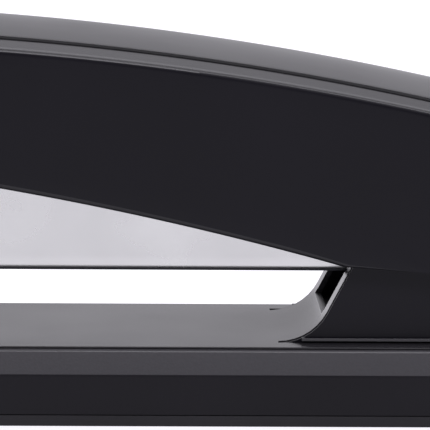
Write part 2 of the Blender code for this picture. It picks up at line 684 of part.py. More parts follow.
def build_handle_shell(material):
    """Handle cover: hollow, with rounded shoulders, a seat for the grip, bosses and a slot at the rear."""
    seam = seam_degrees(REAR_R)
    layers = [(-y, d) for y, d in reversed(SHOULDER)] + [(0.0, 0.0)] + list(SHOULDER)
    rings = []
    for y, drop in layers:
        line = crown_line(drop, seam, faded=True) + lower_edge()
        rings.append([(x + nose_rounding(x, y), y, z) for x, z in line])
    shell = place_mesh("handle_shell", [(rings, False)], material)
    slot = arc(PIVOT_X, PIVOT_Z, REAR_R - HANDLE_WALL - 0.6, SLOT_END_DEG, -150.0, 24)
    slot += arc(PIVOT_X, PIVOT_Z, REAR_R + 3.0, -150.0, SLOT_END_DEG, 24)
    carve(shell, "handle_slot", [slab(slot, -SLOT_HALF, SLOT_HALF)])
    room_half = HANDLE_HALF - HANDLE_WALL
    inner_seam = seam_degrees(REAR_R - HANDLE_WALL)
    lip_x = polar(PIVOT_X, PIVOT_Z, REAR_R - HANDLE_WALL, inner_seam)[0]
    mouth = [(lip_x, 14.0), (HEEL[0], 14.0), (BEND_X, 20.0), (-93.0, 20.0)]
    rings = []
    for y in (-room_half, -10.0, 0.0, 10.0, room_half):
        line = room_line(ROOF_DEPTH, inner_seam) + mouth
        rings.append([(x + nose_rounding(x, y), y, z) for x, z in line])
    carve(shell, "handle_room", [(rings, False)])
    seat = grip_body(SEAT_HALF, GRIP_FRONT - GROOVE, GRIP_REAR + GROOVE, SEAT_DEPTH, 4.0, 0.0)
    carve(shell, "handle_seat", [seat])
    bosses = [rod("Z", (x, 0.0), BOSS_R, max(frame_top(x - BOSS_R), frame_top(x + BOSS_R)) + GAP,
                  back_height(x) - ROOF_DEPTH + 1.0, 24) for x in HANDLE_SCREWS_X]
    carve(shell, "handle_bosses", bosses, "UNION")
    pilot = [rod("Z", (x, 0.0), 1.6, frame_top(x) - 2.0, frame_top(x) + 4.6, 20) for x in HANDLE_SCREWS_X]
    carve(shell, "handle_pilots", pilot)
    return smooth(shell, 35.0)


def room_line(roof, inner_seam):
    """The hollow's outline: thin at the nose and the round end, deeper under the grip's seat."""
    line = []
    for x, z in crown_line(HANDLE_WALL, inner_seam):
        if x < PIVOT_X - 6.0 and z > 40.0:
            z = min(z, back_height(x, roof))
        line.append((x, z))
    return line


def grip_body(half, front, rear, depth, above, crown):
    """The grip's strip along the back, with rounded corners in plan and a slight crown across."""
    corner = GRIP_CORNER
    bends = [1.0 - math.cos(math.pi / 2 * i / 5) for i in range(6)]
    stations = [front + corner * b for b in bends] + spread(front + corner, rear - corner, 14)[1:-1]
    stations += [rear - corner * b for b in reversed(bends)]
    rings = []
    for x in stations:
        near = min(x - front, rear - x, corner)
        width = half - corner + math.sqrt(max(0.0, corner ** 2 - (corner - near) ** 2))
        ring = []
        for t in spread(-1.0, 1.0, 6):
            y = width * t
            ring.append((x, y, back_height(x) + above - crown * (y / half) ** 2))
        for t in spread(1.0, -1.0, 6):
            ring.append((x, width * t, back_height(x) - depth))
        rings.append(ring)
    return (rings, False)


def build_top_grip(material):
    """Satin insert along the handle's back."""
    shell = grip_body(GRIP_HALF, GRIP_FRONT, GRIP_REAR, SEAT_DEPTH - GAP, 0.0, GRIP_CROWN)
    return smooth(place_mesh("top_grip", [shell], material), 35.0)


def frame_top(x):
    """Height of the frame's upper face."""
    (x0, z0), (x1, z1), (x2, z2) = FRAME_LINE
    if x < x1:
        return z0 + (z1 - z0) * (x - x0) / (x1 - x0)
    return z1 + (z2 - z1) * (x - x1) / (x2 - x1)


def build_handle_frame(material):
    """Steel frame: a top plate, two arms to the pin and a tab at the front for the driver."""
    thick = 1.0
    eye = 6.0
    ring = arc(PIVOT_X, PIVOT_Z, eye, 75.0, -105.0, 16)
    outline = [(-87.6, 40.3)] + list(FRAME_LINE) + ring + [(58.0, 31.0), (36.0, 37.0), (BEND_X, 44.2), (-70.0, 42.0)]
    frame = place_mesh("handle_frame", [slab(outline, -FRAME_OUT, FRAME_OUT)], material)
    room = [(-86.9, 10.0), (-86.6, 40.3), (-85.75, 50.5 - thick), (BEND_X, 52.5 - thick), (60.0, 44.5 - thick),
            (60.0, 70.0), (120.0, 70.0), (120.0, 10.0)]
    carve(frame, "frame_room", [slab(room, -FRAME_IN, FRAME_IN)])
    reliefs = [block(-92.0, -84.0, s * 7.2, s * (FRAME_IN + 0.01), 30.0, 45.8) for s in (-1, 1)]
    cuts = reliefs + [rod("Y", (PIVOT_X, PIVOT_Z), PIN_HOLE_R, -20.0, 20.0, 40)]
    cuts += [rod("X", (y, DRIVER_RIVET_Z), 1.3, -92.0, -80.0, 20) for y in DRIVER_RIVETS_Y]
    cuts += [rod("Z", (x, 0.0), 1.6, 40.0, 60.0, 20) for x in HANDLE_SCREWS_X + (SPRING_RIVET_X,)]
    carve(frame, "frame_cuts", cuts)
    return smooth(frame)


def build_driver_blade(material):
    """Hardened blade curved about the hinge pin, so that it runs in its slot as the handle swings."""
    inner, outer = DRIVER_R - DRIVER_THICK / 2, DRIVER_R + DRIVER_THICK / 2
    outline = driver_arc(inner, DRIVER_TIP, 48.5) + list(reversed(driver_arc(outer, DRIVER_TIP, 48.5)))
    blade = place_mesh("driver_blade", [slab(outline, -5.9, 5.9)], material)
    carve(blade, "blade_holes", [rod("X", (y, DRIVER_RIVET_Z), 1.3, -92.0, -80.0, 20) for y in DRIVER_RIVETS_Y])
    return smooth(blade)


def build_driver_rivets(material):
    """Two rivets that hold the blade to the frame's tab."""
    mid = driver_arc(DRIVER_R, DRIVER_RIVET_Z, DRIVER_RIVET_Z + 1.0, 1)[0][0]
    return [smooth(place_mesh(name, [rivet("X", (y, DRIVER_RIVET_Z), 1.0, 2.0, mid - 1.4, mid + 2.7, 0.6)],
                              material))
            for name, y in zip(("driver_rivet_left", "driver_rivet_right"), DRIVER_RIVETS_Y)]


def build_handle_spring(material):
    """Leaf spring under the frame that bears on the housing's bridge and lifts the handle."""
    thick = 0.6
    held = frame_top(SPRING_RIVET_X) - 1.0 - GAP - thick / 2
    line = [(SPRING_RIVET_X - 5.0, held + 5.0 * 0.027), (SPRING_RIVET_X, held), (SPRING_RIVET_X + 5.0, held - 0.6)]
    rest_x = 50.0
    rest_z = magazine_top(41.0) + GAP + thick / 2 + 0.15
    for t in spread(0.0, 1.0, 10)[1:]:
        x = SPRING_RIVET_X + 5.0 + (rest_x - SPRING_RIVET_X - 5.0) * t
        line.append((x, held - 0.6 + (rest_z - held + 0.6) * math.sin(math.pi / 2 * t)))
    line.append((rest_x + 3.0, rest_z + 0.7))
    spring = place_mesh("handle_spring", [strip(line, thick, 4.5)], material)
    carve(spring, "spring_hole", [rod("Z", (SPRING_RIVET_X, 0.0), 1.6, 40.0, 60.0, 20)])
    return smooth(spring, 40.0)


def build_spring_rivet(material):
    """Rivet that holds the leaf spring to the frame."""
    top = frame_top(SPRING_RIVET_X)
    shell = rivet("Z", (SPRING_RIVET_X, 0.0), 1.3, 2.6, top - 3.1, top + 1.4, 0.7)
    return smooth(place_mesh("spring_rivet", [shell], material))


def build_handle_screws(material):
    """Two screws up through the frame into the cover's bosses."""
    screws = []
    for name, x in zip(("handle_screw_front", "handle_screw_rear"), HANDLE_SCREWS_X):
        z = frame_top(x)
        profile = [(z - 3.2, 2.3), (z - 2.8, 2.8), (z - 1.5, 2.8), (z - 1.5, 1.3), (z + 4.0, 1.3)]
        screws.append(smooth(place_mesh(name, [(turned("Z", (x, 0.0), profile, 20), False)], material)))
    return screws


# ---- assembly -----------------------------------------------------------------------------------
def pivot_empty(name, x, z):
    """An empty on a joint's axis."""
    empty = bpy.data.objects.new(name, None)
    empty.location = (x * MM, 0.0, z * MM)
    empty.empty_display_size = 0.01
    bpy.context.scene.collection.objects.link(empty)
    return empty


def hang(children, empty):
    """Parent pieces to an empty without moving them."""
    for child in children:
        child.parent = empty
        child.matrix_parent_inverse.identity()
        child.location = child.location - empty.location


def main():
    """Build every piece and group the moving ones on their axes."""
    for obj in list(bpy.data.objects):
        bpy.data.objects.remove(obj, do_unlink=True)

    black = finish("black_shell_plastic", (0.016, 0.016, 0.018), 0.42)
    base_black = finish("base_satin_black", (0.02, 0.02, 0.022), 0.5)
    hub_black = finish("hub_plastic", (0.014, 0.014, 0.016), 0.35)
    grip = finish("satin_grip", (0.03, 0.03, 0.033), 0.38)
    deck_black = finish("satin_black_deck", (0.03, 0.029, 0.032), 0.3)
    bright = finish("bright_sheet_steel", (0.72, 0.72, 0.74), 0.28, 1.0)
    dark_steel = finish("dark_track_steel", (0.05, 0.052, 0.056), 0.45, 0.8)
    plain_steel = finish("plain_steel", (0.42, 0.42, 0.43), 0.35, 1.0)
    spring_steel = finish("spring_steel", (0.3, 0.3, 0.31), 0.3, 1.0)
    rubber = finish("black_rubber", (0.022, 0.022, 0.024), 0.8)
    moulded = finish("moulded_pusher_plastic", (0.025, 0.025, 0.028), 0.5)

    build_base_shell(base_black)
    build_rubber_foot(rubber)
    build_deck_plate(deck_black)
    build_rear_hub(hub_black)
    build_hinge_bracket(plain_steel)
    build_hinge_pin(plain_steel)
    build_pin_rings(spring_steel)
    build_base_spring(spring_steel)
    build_base_screws(plain_steel)

    build_anvil_plate(plain_steel)
    build_anvil_button(plain_steel)
    build_anvil_spring(spring_steel)

    magazine = [build_magazine_housing(bright), build_staple_track(dark_steel), build_track_core(plain_steel),
                build_front_guide(dark_steel), build_guide_rod(plain_steel), build_pusher_spring(spring_steel),
                build_pivot_bush(plain_steel)] + build_magazine_rivets(plain_steel)
    hang(magazine, pivot_empty("magazine_axis", PIVOT_X, PIVOT_Z))
    build_pusher(moulded)
    handle = [build_handle_shell(black), build_top_grip(grip), build_handle_frame(plain_steel),
              build_driver_blade(spring_steel), build_handle_spring(spring_steel),
              build_spring_rivet(plain_steel)]
    handle += build_driver_rivets(plain_steel) + build_handle_screws(plain_steel)
    hang(handle, pivot_empty("handle_axis", PIVOT_X, PIVOT_Z))


main()
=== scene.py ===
"""Finished look of a full-strip desk stapler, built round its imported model.

Lengths inside the classes are millimetres in the model's own frame: +X towards the hinge, -X towards the
nose, +Z up. Surfaces are worked out as whole numpy arrays and become metres when a mesh is made.
"""
import json
import logging
import math
from collections.abc import Callable
from dataclasses import dataclass
from enum import Enum
from functools import cache

import bmesh
import bpy
import numpy as np
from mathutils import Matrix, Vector


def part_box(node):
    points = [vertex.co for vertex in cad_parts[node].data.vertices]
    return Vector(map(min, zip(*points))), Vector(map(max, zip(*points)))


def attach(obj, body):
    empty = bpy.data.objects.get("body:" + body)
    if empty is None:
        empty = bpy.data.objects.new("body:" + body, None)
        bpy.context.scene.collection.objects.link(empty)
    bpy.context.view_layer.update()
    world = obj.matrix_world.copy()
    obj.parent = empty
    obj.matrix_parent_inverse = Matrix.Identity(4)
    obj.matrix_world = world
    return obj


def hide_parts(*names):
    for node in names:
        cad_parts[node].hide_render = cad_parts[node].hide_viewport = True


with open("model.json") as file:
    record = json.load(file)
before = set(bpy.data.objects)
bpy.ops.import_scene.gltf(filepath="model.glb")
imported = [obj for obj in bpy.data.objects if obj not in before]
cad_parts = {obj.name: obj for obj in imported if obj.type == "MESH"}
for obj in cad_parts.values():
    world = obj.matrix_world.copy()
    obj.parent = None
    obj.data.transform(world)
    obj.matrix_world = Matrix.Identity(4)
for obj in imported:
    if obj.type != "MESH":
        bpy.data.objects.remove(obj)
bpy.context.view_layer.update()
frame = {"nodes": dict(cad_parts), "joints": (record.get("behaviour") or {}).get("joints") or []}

MM = 0.001
LOG = logging.getLogger("stapler")

Array = np.ndarray
Object = bpy.types.Object
Material = bpy.types.Material
Socket = bpy.types.NodeSocket
Pair = tuple[float, float]
Triple = tuple[float, float, float]


class Body(Enum):
    """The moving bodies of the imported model."""

    BASE = "base"
    BUTTON = "anvil_button"
    ANVIL = "anvil"
    MAGAZINE = "magazine"
    PUSHER = "pusher"
    HANDLE = "handle"


class Axis(Enum):
    """The direction a turned piece lies along."""

    X = 0
    Y = 1
    Z = 2


# ---- finishes -----------------------------------------------------------------------------------
def fill(tree: bpy.types.NodeTree, socket: Socket, value: object) -> None:
    """Link a socket to another one, or give it a plain value.

    Args:
        tree: The socket's node tree.
        socket: The input to fill.
        value: An output to link it to, or a plain value.
    """
    if isinstance(value, Socket):
        tree.links.new(value, socket)
    else:
        socket.default_value = value


def add_node(tree: bpy.types.NodeTree, kind: str, output: str, inputs: dict[str | int, object],
             **settings: object) -> Socket:
    """Add a shader node.

    Args:
        tree: The node tree it goes into.
        kind: Its type, without the words that all shader nodes share.
        output: Name of the output to hand back.
        inputs: What each input gets, by name or number: a socket to link to, or a plain value.
        **settings: The node's own settings.

    Returns:
        The output.
    """
    node = tree.nodes.new("ShaderNode" + kind)
    for name, value in settings.items():
        setattr(node, name, value)
    for key, value in inputs.items():
        named = [i for n, i in enumerate(node.inputs) if n == key or (i.name == key and i.enabled)]
        fill(tree, named[0], value)
    return next(o for o in node.outputs if o.name == output and o.enabled)


class Nodes:
    """Short way to add shader nodes to one material."""

    def __init__(self, name: str) -> None:
        """Start a material with a Principled shader."""
        self.material: Material = bpy.data.materials.new(name)
        self.material.use_nodes = True
        self.tree = self.material.node_tree
        self.coords = self.add("TexCoord", "Object", {})

    def add(self, kind: str, output: str, inputs: dict[str | int, object], **settings: object) -> Socket:
        """Add a node to the material, as add_node does."""
        return add_node(self.tree, kind, output, inputs, **settings)

    def dress(self, **values: object) -> None:
        """Give the shader's inputs plain values or links, named with underscores for spaces."""
        shader = self.tree.nodes["Principled BSDF"]
        for name, value in values.items():
            fill(self.tree, shader.inputs[name.replace("_", " ")], value)

    def noise(self, scale: float, detail: float, rough: float = 0.5, vector: Socket | None = None) -> Socket:
        """Fractal noise, 0 to 1, of a number of cells per metre and octaves, each finer one kept in part."""
        return self.add("TexNoise", "Fac", {
            "Vector": vector or self.coords, "Scale": scale, "Detail": detail, "Roughness": rough})

    def spread(self, source: Socket, low: float, high: float, start: float = 0.3, end: float = 0.7) -> Socket:
        """Map a value that runs from start to end on to the range from low to high."""
        return self.add("MapRange", "Result", {
            "Value": source, "From Min": start, "From Max": end, "To Min": low, "To Max": high})

    def blend(self, factor: Socket, first: object, second: object) -> Socket:
        """Mix two colours by a value."""
        return self.add("Mix", "Result", {"Factor": factor, "A": first, "B": second}, data_type="RGBA")

    def bump(self, height: Socket, depth: float, **under: Socket) -> Socket:
        """Normal of a height from 0 to 1 over a depth in metres, on top of another normal if one is given."""
        return self.add("Bump", "Normal", {"Height": height, "Distance": depth, "Strength": 1.0, **under})


@dataclass(frozen=True)
class Moulding:
    """Moulded plastic, paint or rubber: a near-even colour with fine grain and slight handling marks."""

    name: str
    slot: str
    color: Triple
    roughness: float
    grain: float
    depth: float
    gloss: float
    mottle: float = 0.12
    cellular: bool = False
    upper: Triple | None = None
    upper_start: float = 0.0

    @cache
    def material(self) -> Material:
        """Build the material, in which an upper colour, if there is one, takes over above a height. On the
        shell this upper colour is lighter: painted sheen for the light its grained band catches from above.

        Returns:
            The finished material.
        """
        nodes = Nodes(self.name)
        broad = nodes.noise(38.0, 4.0)
        fine = nodes.noise(self.grain, 3.0, 0.6)
        color = nodes.blend(nodes.spread(broad, 0.0, 1.0), *self.shades(self.color))
        # The upper colour is painted sheen: a lighter colour above a height in place of light caught from
        # above.
        if self.upper is not None:
            height = nodes.add("SeparateXYZ", "Z", {0: nodes.coords})
            above = nodes.spread(height, 0.0, 1.0, self.upper_start, self.upper_start + 0.0001)
            color = nodes.blend(above, color, nodes.blend(fine, *self.shades(self.upper)))
        normal = nodes.bump(fine, self.depth)
        if self.cellular:
            cells = nodes.add("TexVoronoi", "Distance", {"Vector": nodes.coords, "Scale": self.grain})
            normal = nodes.bump(fine, self.depth * 0.5, Normal=nodes.bump(cells, self.depth))
        nodes.dress(Base_Color=color, Specular_IOR_Level=self.gloss, Normal=normal,
                    Roughness=nodes.spread(broad, self.roughness - 0.03, self.roughness + 0.04))
        return nodes.material

    def shades(self, color: Triple) -> list[tuple[float, ...]]:
        """A darker and a lighter shade of a colour."""
        return [(*(c * (1.0 + part) for c in color), 1.0) for part in (-self.mottle, self.mottle)]


@dataclass(frozen=True)
class RolledSteel:
    """Sheet or bar steel with fine streaks along one axis and faint smears."""

    name: str
    slot: str
    color: Triple
    roughness: float
    streak: Axis = Axis.X
    wear: float = 0.08

    @cache
    def material(self) -> Material:
        """Build the material.

        Returns:
            The finished material.
        """
        nodes = Nodes(self.name)
        scale = [1.0, 1.0, 1.0]
        scale[self.streak.value] = 0.02
        stretched = nodes.add("Mapping", "Vector", {"Vector": nodes.coords, "Scale": scale})
        streaks = nodes.noise(3500.0, 4.0, 0.6, stretched)
        smears = nodes.noise(60.0, 5.0, 0.55)
        worn, clean = [(*(c * share for c in self.color), 1.0) for share in (1.0 - self.wear, 1.0)]
        color = nodes.blend(nodes.spread(smears, 0.0, 1.0, 0.35, 0.6), worn, clean)
        nodes.dress(Metallic=1.0, Base_Color=color, Normal=nodes.bump(streaks, 6e-7),
                    Roughness=nodes.spread(smears, self.roughness + 0.05, self.roughness - 0.03))
        return nodes.material


class Finish(Enum):
    """Every finish on the stapler: name, material slot, colour, roughness, grain, its depth and gloss."""

    COVER = Moulding("cover_black", "handle_plastic", (0.0075, 0.0070, 0.0100), 0.34, 2200.0, 1.2e-6, 0.13)
    # Painted sheen: a lighter, glossier copy of the cover's black, for the shoulders' upward faces.
    SHOULDER_SHEEN = Moulding(
        "cover_shoulder_painted_sheen", "handle_plastic", (0.014, 0.0135, 0.0155), 0.3, 2200.0, 1.2e-6, 0.5)
    # Painted highlight: a slightly lighter, glossier copy of the cover's black, for the rolled lower edge.
    LOWER_EDGE_HIGHLIGHT = Moulding(
        "cover_lower_edge_painted_highlight", "handle_plastic", (0.0085, 0.0080, 0.0105), 0.34, 2200.0, 1.2e-6, 0.3)
    GRIP = Moulding("grip_satin", "grip", (0.014, 0.0135, 0.0155), 0.3, 2600.0, 1.5e-6, 0.5)
    # The shell's upper colour, far lighter above the chamfer's foot, is painted sheen for light its grain
    # catches from above; the grain bump itself is real.
    SHELL = Moulding("shell_grained_painted_sheen", "base_plastic", (0.0098, 0.0092, 0.0118), 0.42, 2600.0, 1.2e-5, 0.13,
                     cellular=True, upper=(0.056, 0.0545, 0.0595), upper_start=0.00785)
    # Painted highlight: a light, glossy colour for the rim's upward faces, where its rounded edge catches
    # light.
    RIM_HIGHLIGHT = Moulding("shell_rim_painted_highlight", "base_plastic", (0.05, 0.0485, 0.0535), 0.3, 2600.0, 2e-6, 0.5)
    RUBBER = Moulding("sole_rubber", "rubber", (0.0205, 0.0198, 0.0225), 0.75, 1500.0, 6e-6, 0.2, 0.2)
    DECK = Moulding("deck_satin", "deck_metal", (0.020, 0.0188, 0.0222), 0.22, 1400.0, 1.4e-6, 0.5)
    HUB = Moulding("hub_black", "hub_plastic", (0.0075, 0.0070, 0.0100), 0.3, 2000.0, 1.0e-6, 0.13)
    # Painted highlight: a light colour for the hub flange's outer faces, standing in for the light its top
    # edge catches.
    FLANGE_HIGHLIGHT = Moulding("hub_flange_painted_highlight", "hub_plastic", (0.08, 0.078, 0.084), 0.3, 2000.0, 1.0e-6, 0.3)
    PUSHER = Moulding("pusher_black", "pusher_plastic", (0.012, 0.012, 0.013), 0.45, 1500.0, 3e-6, 0.4)
    BRIGHT = RolledSteel("housing_bright", "bright_steel", (0.577, 0.577, 0.579), 0.26, wear=0.02)
    TRACK = RolledSteel("track_dark", "track_steel", (0.03, 0.03, 0.034), 0.4)
    STEEL = RolledSteel("plain_steel", "plain_steel", (0.45, 0.45, 0.46), 0.34)
    SPRING = RolledSteel("spring_steel", "spring_steel", (0.27, 0.265, 0.27), 0.28, Axis.Z)


# ---- surfaces and meshes ------------------------------------------------------------------------
def grid_faces(rows: int, cols: int, closed: bool) -> Array:
    """Vertex numbers of each cell of a grid.

    Args:
        rows: Points down the grid.
        cols: Points across the grid.
        closed: Whether the last column joins the first.

    Returns:
        Cell rows by cell columns by four corners.
    """
    row = np.arange(rows - 1)[:, None] * cols
    here = np.arange(cols if closed else cols - 1)
    there = (here + 1) % cols
    return np.stack([row + here, row + there, row + cols + there, row + cols + here], -1)


def rim_faces(kept: Array, offset: int) -> Array:
    """Faces that join two sheets along every open edge, which is one that only one cell has.

    Args:
        kept: Cells that exist, by four corners.
        offset: How far the second sheet's vertex numbers lie past the first's.

    Returns:
        Faces by four corners.
    """
    edges = np.concatenate([kept[:, [k, (k + 1) % 4]] for k in range(4)])
    _, index, counts = np.unique(np.sort(edges, axis=1), axis=0, return_index=True, return_counts=True)
    a, b = edges[index[counts == 1]].T
    return np.stack([b, a, a + offset, b + offset], -1)


def shade(mesh: bpy.types.Mesh, sharp: float) -> None:
    """Shade smooth, apart from edges that bend more than an angle in degrees."""
    mesh.shade_smooth()
    mesh.set_sharp_from_angle(angle=math.radians(sharp))


def add_object(mesh: bpy.types.Mesh, reach: float, sharp: float, flat: float = 0.0) -> Object:
    """Put a mesh in the scene with doubled points merged and all faces turned outwards.

    Args:
        mesh: The mesh, whose name the object takes.
        reach: Points closer than this are one, in metres.
        sharp: Edges that bend more than this many degrees stay sharp.
        flat: Faces that bend less than this many degrees become one; 0 only drops collapsed ones.

    Returns:
        The new object, at the origin.
    """
    bm = bmesh.new()
    bm.from_mesh(mesh)
    bmesh.ops.remove_doubles(bm, verts=bm.verts[:], dist=reach)
    if flat:
        bmesh.ops.dissolve_limit(bm, angle_limit=math.radians(flat), verts=bm.verts[:], edges=bm.edges[:])
    else:
        bmesh.ops.dissolve_degenerate(bm, dist=reach, edges=bm.edges[:])
    bmesh.ops.recalc_face_normals(bm, faces=bm.faces[:])
    bm.to_mesh(mesh)
    bm.free()
    obj = bpy.data.objects.new(mesh.name, mesh)
    bpy.context.scene.collection.objects.link(obj)
    shade(mesh, sharp)
    return obj


def make_object(name: str, points: Array, faces: list[list[int]], sharp: float) -> Object:
    """Make a closed solid.

    Args:
        name: Object name.
        points: Vertices in millimetres, XYZ last.
        faces: Vertex numbers of each face.
        sharp: Sharp-edge angle in degrees.

    Returns:
        The new object.
    """
    mesh = bpy.data.meshes.new(name)
    mesh.from_pydata((points.reshape(-1, 3) * MM).tolist(), [], faces)
    mesh.validate()
    return add_object(mesh, 1e-7, sharp)


def sheet_solid(name: str, outer: Array, inner: Array, sharp: float, keep: Array | None = None) -> Object:
    """Make a solid from two matching sheets of points joined round every open edge.

    Args:
        name: Object name.
        outer: Outer sheet, rows by columns by XYZ, in millimetres.
        inner: Inner sheet of the same shape.
        sharp: Sharp-edge angle in degrees.
        keep: Which cells exist; holes and notches are left out.

    Returns:
        The new object.
    """
    rows, cols = outer.shape[:2]
    cells = grid_faces(rows, cols, False)
    kept = cells.reshape(-1, 4) if keep is None else cells[keep]
    count = rows * cols
    faces = np.concatenate([kept, kept[:, ::-1] + count, rim_faces(kept, count)])
    return make_object(name, np.concatenate([outer, inner]), faces.tolist(), sharp)


def loft(name: str, rings: Array, sharp: float = 35.0) -> Object:
    """Make a solid from a stack of closed rings, filled at both ends.

    Args:
        name: Object name.
        rings: Rings by points by XYZ, in millimetres.
        sharp: Sharp-edge angle in degrees.

    Returns:
        The new object.
    """
    rows, cols = rings.shape[:2]
    faces = grid_faces(rows, cols, True).reshape(-1, 4).tolist()
    faces += [list(range(cols)), list(range((rows - 1) * cols, rows * cols))]
    return make_object(name, rings, faces, sharp)


def turned(axis: Axis, centre: Triple, profile: Array | list[Pair], segments: int = 48) -> Array:
    """Rings of a turned piece: each profile point's radius swept round the axis.

    Args:
        axis: Direction of the axis.
        centre: A point on the axis.
        profile: Rows of distance along the axis from the centre, and radius.
        segments: Points round each ring.

    Returns:
        Rings by points by XYZ.
    """
    profile = np.array(profile)
    angle = np.linspace(0.0, 2 * np.pi, segments, endpoint=False)
    ring = [profile[:, 1:] * np.cos(angle), profile[:, 1:] * np.sin(angle)]
    ring.insert(axis.value, np.broadcast_to(profile[:, :1], (len(profile), segments)))
    return np.stack(ring, -1) + np.array(centre)


def coil(node: str, axis: Axis, centre: Triple, radius: float, wire: float, turns: float, dead: float,
         short: float = 0.0) -> Array:
    """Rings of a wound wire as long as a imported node.

    The wire's middle runs round the axis once per turn while it moves along it. The pitch eases from one
    wire's thickness at the closed ends to the open pitch in the middle. Each ring is a circle across the
    wire, leant over by the winding's slope.

    Args:
        node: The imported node.
        axis: Direction of the coil.
        centre: A point on its axis, with 0 along the axis.
        radius: Middle radius of the coil.
        wire: Radius of the wire.
        turns: Number of turns.
        dead: Closed turns at each end.
        short: How much shorter than the node the coil is at its start.

    Returns:
        Rings by points by XYZ.
    """
    low, high = (corner[axis.value] for corner in box_mm(node))
    length = high - (low + short) - 2 * wire
    per_turn = 24
    t = np.arange(int(turns * per_turn) + 1) / per_turn
    openness = np.clip(np.minimum(t, turns - t) - dead + 0.5, 0.0, 1.0)
    tight = 2.1 * wire
    pitch = tight + openness * (length - tight * turns) / np.trapz(openness, t)
    along = np.concatenate([[0.0], np.cumsum((pitch[1:] + pitch[:-1]) / 2 / per_turn)])
    along = low + short + wire + along * length / along[-1]
    step = 2 * np.pi / per_turn
    a = np.arange(len(t))[:, None] * step
    lean = np.arctan2(np.gradient(along), radius * step)[:, None]
    b = np.linspace(0.0, 2 * np.pi, 8, endpoint=False)[None, :]
    out, up = radius + wire * np.cos(b), wire * np.sin(b)
    ring = [out * np.cos(a) + up * np.sin(lean) * np.sin(a), out * np.sin(a) - up * np.sin(lean) * np.cos(a)]
    ring.insert(axis.value, along[:, None] + up * np.cos(lean))
    return np.stack(ring, -1) + np.array(centre)


def bent(start: Array | float, control: Array | float, end: Array | float, t: Array) -> Array:
    """A quadratic curve from start to end, drawn towards a control point, at shares t of the way."""
    return (1 - t) ** 2 * start + 2 * t * (1 - t) * control + t ** 2 * end


def fillet(corner: Pair, before: Pair, after: Pair, radius: float, steps: int = 5) -> Array:
    """Round a corner of a profile with a quadratic curve that touches both sides.

    Args:
        corner: The sharp corner.
        before: A point on the side that leads to it.
        after: A point on the side that leaves it.
        radius: Distance from the corner to where the curve starts on each side.
        steps: Number of steps.

    Returns:
        The curve's points.
    """
    c = np.array(corner)
    start, end = (c + (side - c) / np.linalg.norm(side - c) * radius for side in (before, after))
    return bent(start, c, end, np.linspace(0.0, 1.0, steps + 1)[:, None])


def rounded(profile: list[Triple]) -> Array:
    """Round the corners of a profile.

    Args:
        profile: Rows of two coordinates and a fillet reach, 0 for a sharp corner.

    Returns:
        The rounded profile's points.
    """
    points = [[row[:2]] if row[2] == 0 else fillet(row[:2], profile[k - 1][:2], profile[k + 1][:2], row[2])
              for k, row in enumerate(profile)]
    return np.concatenate(points)


def cut(obj: Object, sharp: float, *tools: Array) -> None:
    """Cut closed solids out of a piece.

    Args:
        obj: The piece, whose mesh is replaced.
        sharp: Sharp-edge angle in degrees.
        *tools: Rings of each solid.
    """
    solids = [loft("tool", rings) for rings in tools]
    for tool in solids:
        modifier = obj.modifiers.new("cut", "BOOLEAN")
        modifier.object = tool
    depsgraph = bpy.context.evaluated_depsgraph_get()
    mesh = bpy.data.meshes.new_from_object(obj.evaluated_get(depsgraph))
    obj.modifiers.clear()
    obj.data = mesh
    for tool in solids:
        bpy.data.objects.remove(tool, do_unlink=True)
    shade(mesh, sharp)


def ease_edges(obj: Object, width: float) -> Object:
    """Break a piece's sharp edges with a small rounded bevel.

    Args:
        obj: The piece.
        width: Width of the bevel in millimetres.

    Returns:
        The piece.
    """
    modifier = obj.modifiers.new("eased_edges", "BEVEL")
    modifier.width = width * MM
    modifier.segments = 2
    modifier.limit_method = "ANGLE"
    modifier.angle_limit = math.radians(50.0)
    modifier.harden_normals = True
    return obj


def mount(obj: Object, body: Body, finish: Finish, *nodes: str) -> Object:
    """Dress a finished piece and let it ride on its body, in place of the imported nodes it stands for.

    Args:
        obj: The piece.
        body: The body it moves with.
        finish: Its finish, which also names its material slot in the record.
        *nodes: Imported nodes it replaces.

    Returns:
        The piece.
    """
    obj.data.materials.append(finish.value.material())
    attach(obj, body.value)
    if nodes:
        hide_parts(*nodes)
    LOG.info("%-24s rides on %-12s %6d faces", obj.name, body.value, len(obj.data.polygons))
    return obj


def press(body: Body, *rows: tuple[str, str, Finish, float]) -> list[Object]:
    """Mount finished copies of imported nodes: welded, their flats made whole and their edges eased.

    Args:
        body: The body they move with.
        *rows: Nodes parted by spaces, the end of a copy's name, its finish and its edge rounding.

    Returns:
        The copies.
    """
    copies = []
    for nodes, ending, finish, edge in rows:
        for node in nodes.split():
            mesh = frame["nodes"][node].data.copy()
            mesh.name = node.replace("_spring", "_leaf_spring") + ending
            mesh.materials.clear()
            copy = ease_edges(add_object(mesh, 1e-6, 32.0, 0.6), edge)
            copies.append(mount(copy, body, finish, node))
    return copies


def paint_lit_faces(obj: Object, finish: Finish, choose: Callable[[Array, Array], Array]) -> None:
    """Give some faces of a mounted piece a finish of their own; every use here gives them a lighter colour as
    painted highlight or sheen.

    Args:
        obj: The piece.
        finish: Finish of the chosen faces.
        choose: Given the faces' middles in millimetres and their normals, says which are chosen.
    """
    mesh = obj.data
    mesh.materials.append(finish.value.material())
    count = len(mesh.polygons)
    centre, normal, slot = np.empty(3 * count), np.empty(3 * count), np.empty(count, np.int32)
    for name, values in (("center", centre), ("normal", normal), ("material_index", slot)):
        mesh.polygons.foreach_get(name, values)
    slot[choose(centre.reshape(-1, 3) / MM, normal.reshape(-1, 3))] = len(mesh.materials) - 1
    mesh.polygons.foreach_set("material_index", slot)
    mesh.update()


def smoothstep(value: Array, start: float, end: float) -> Array:
    """Ease from 0 to 1 between two values."""
    t = np.clip((value - start) / (end - start), 0.0, 1.0)
    return t * t * (3 - 2 * t)


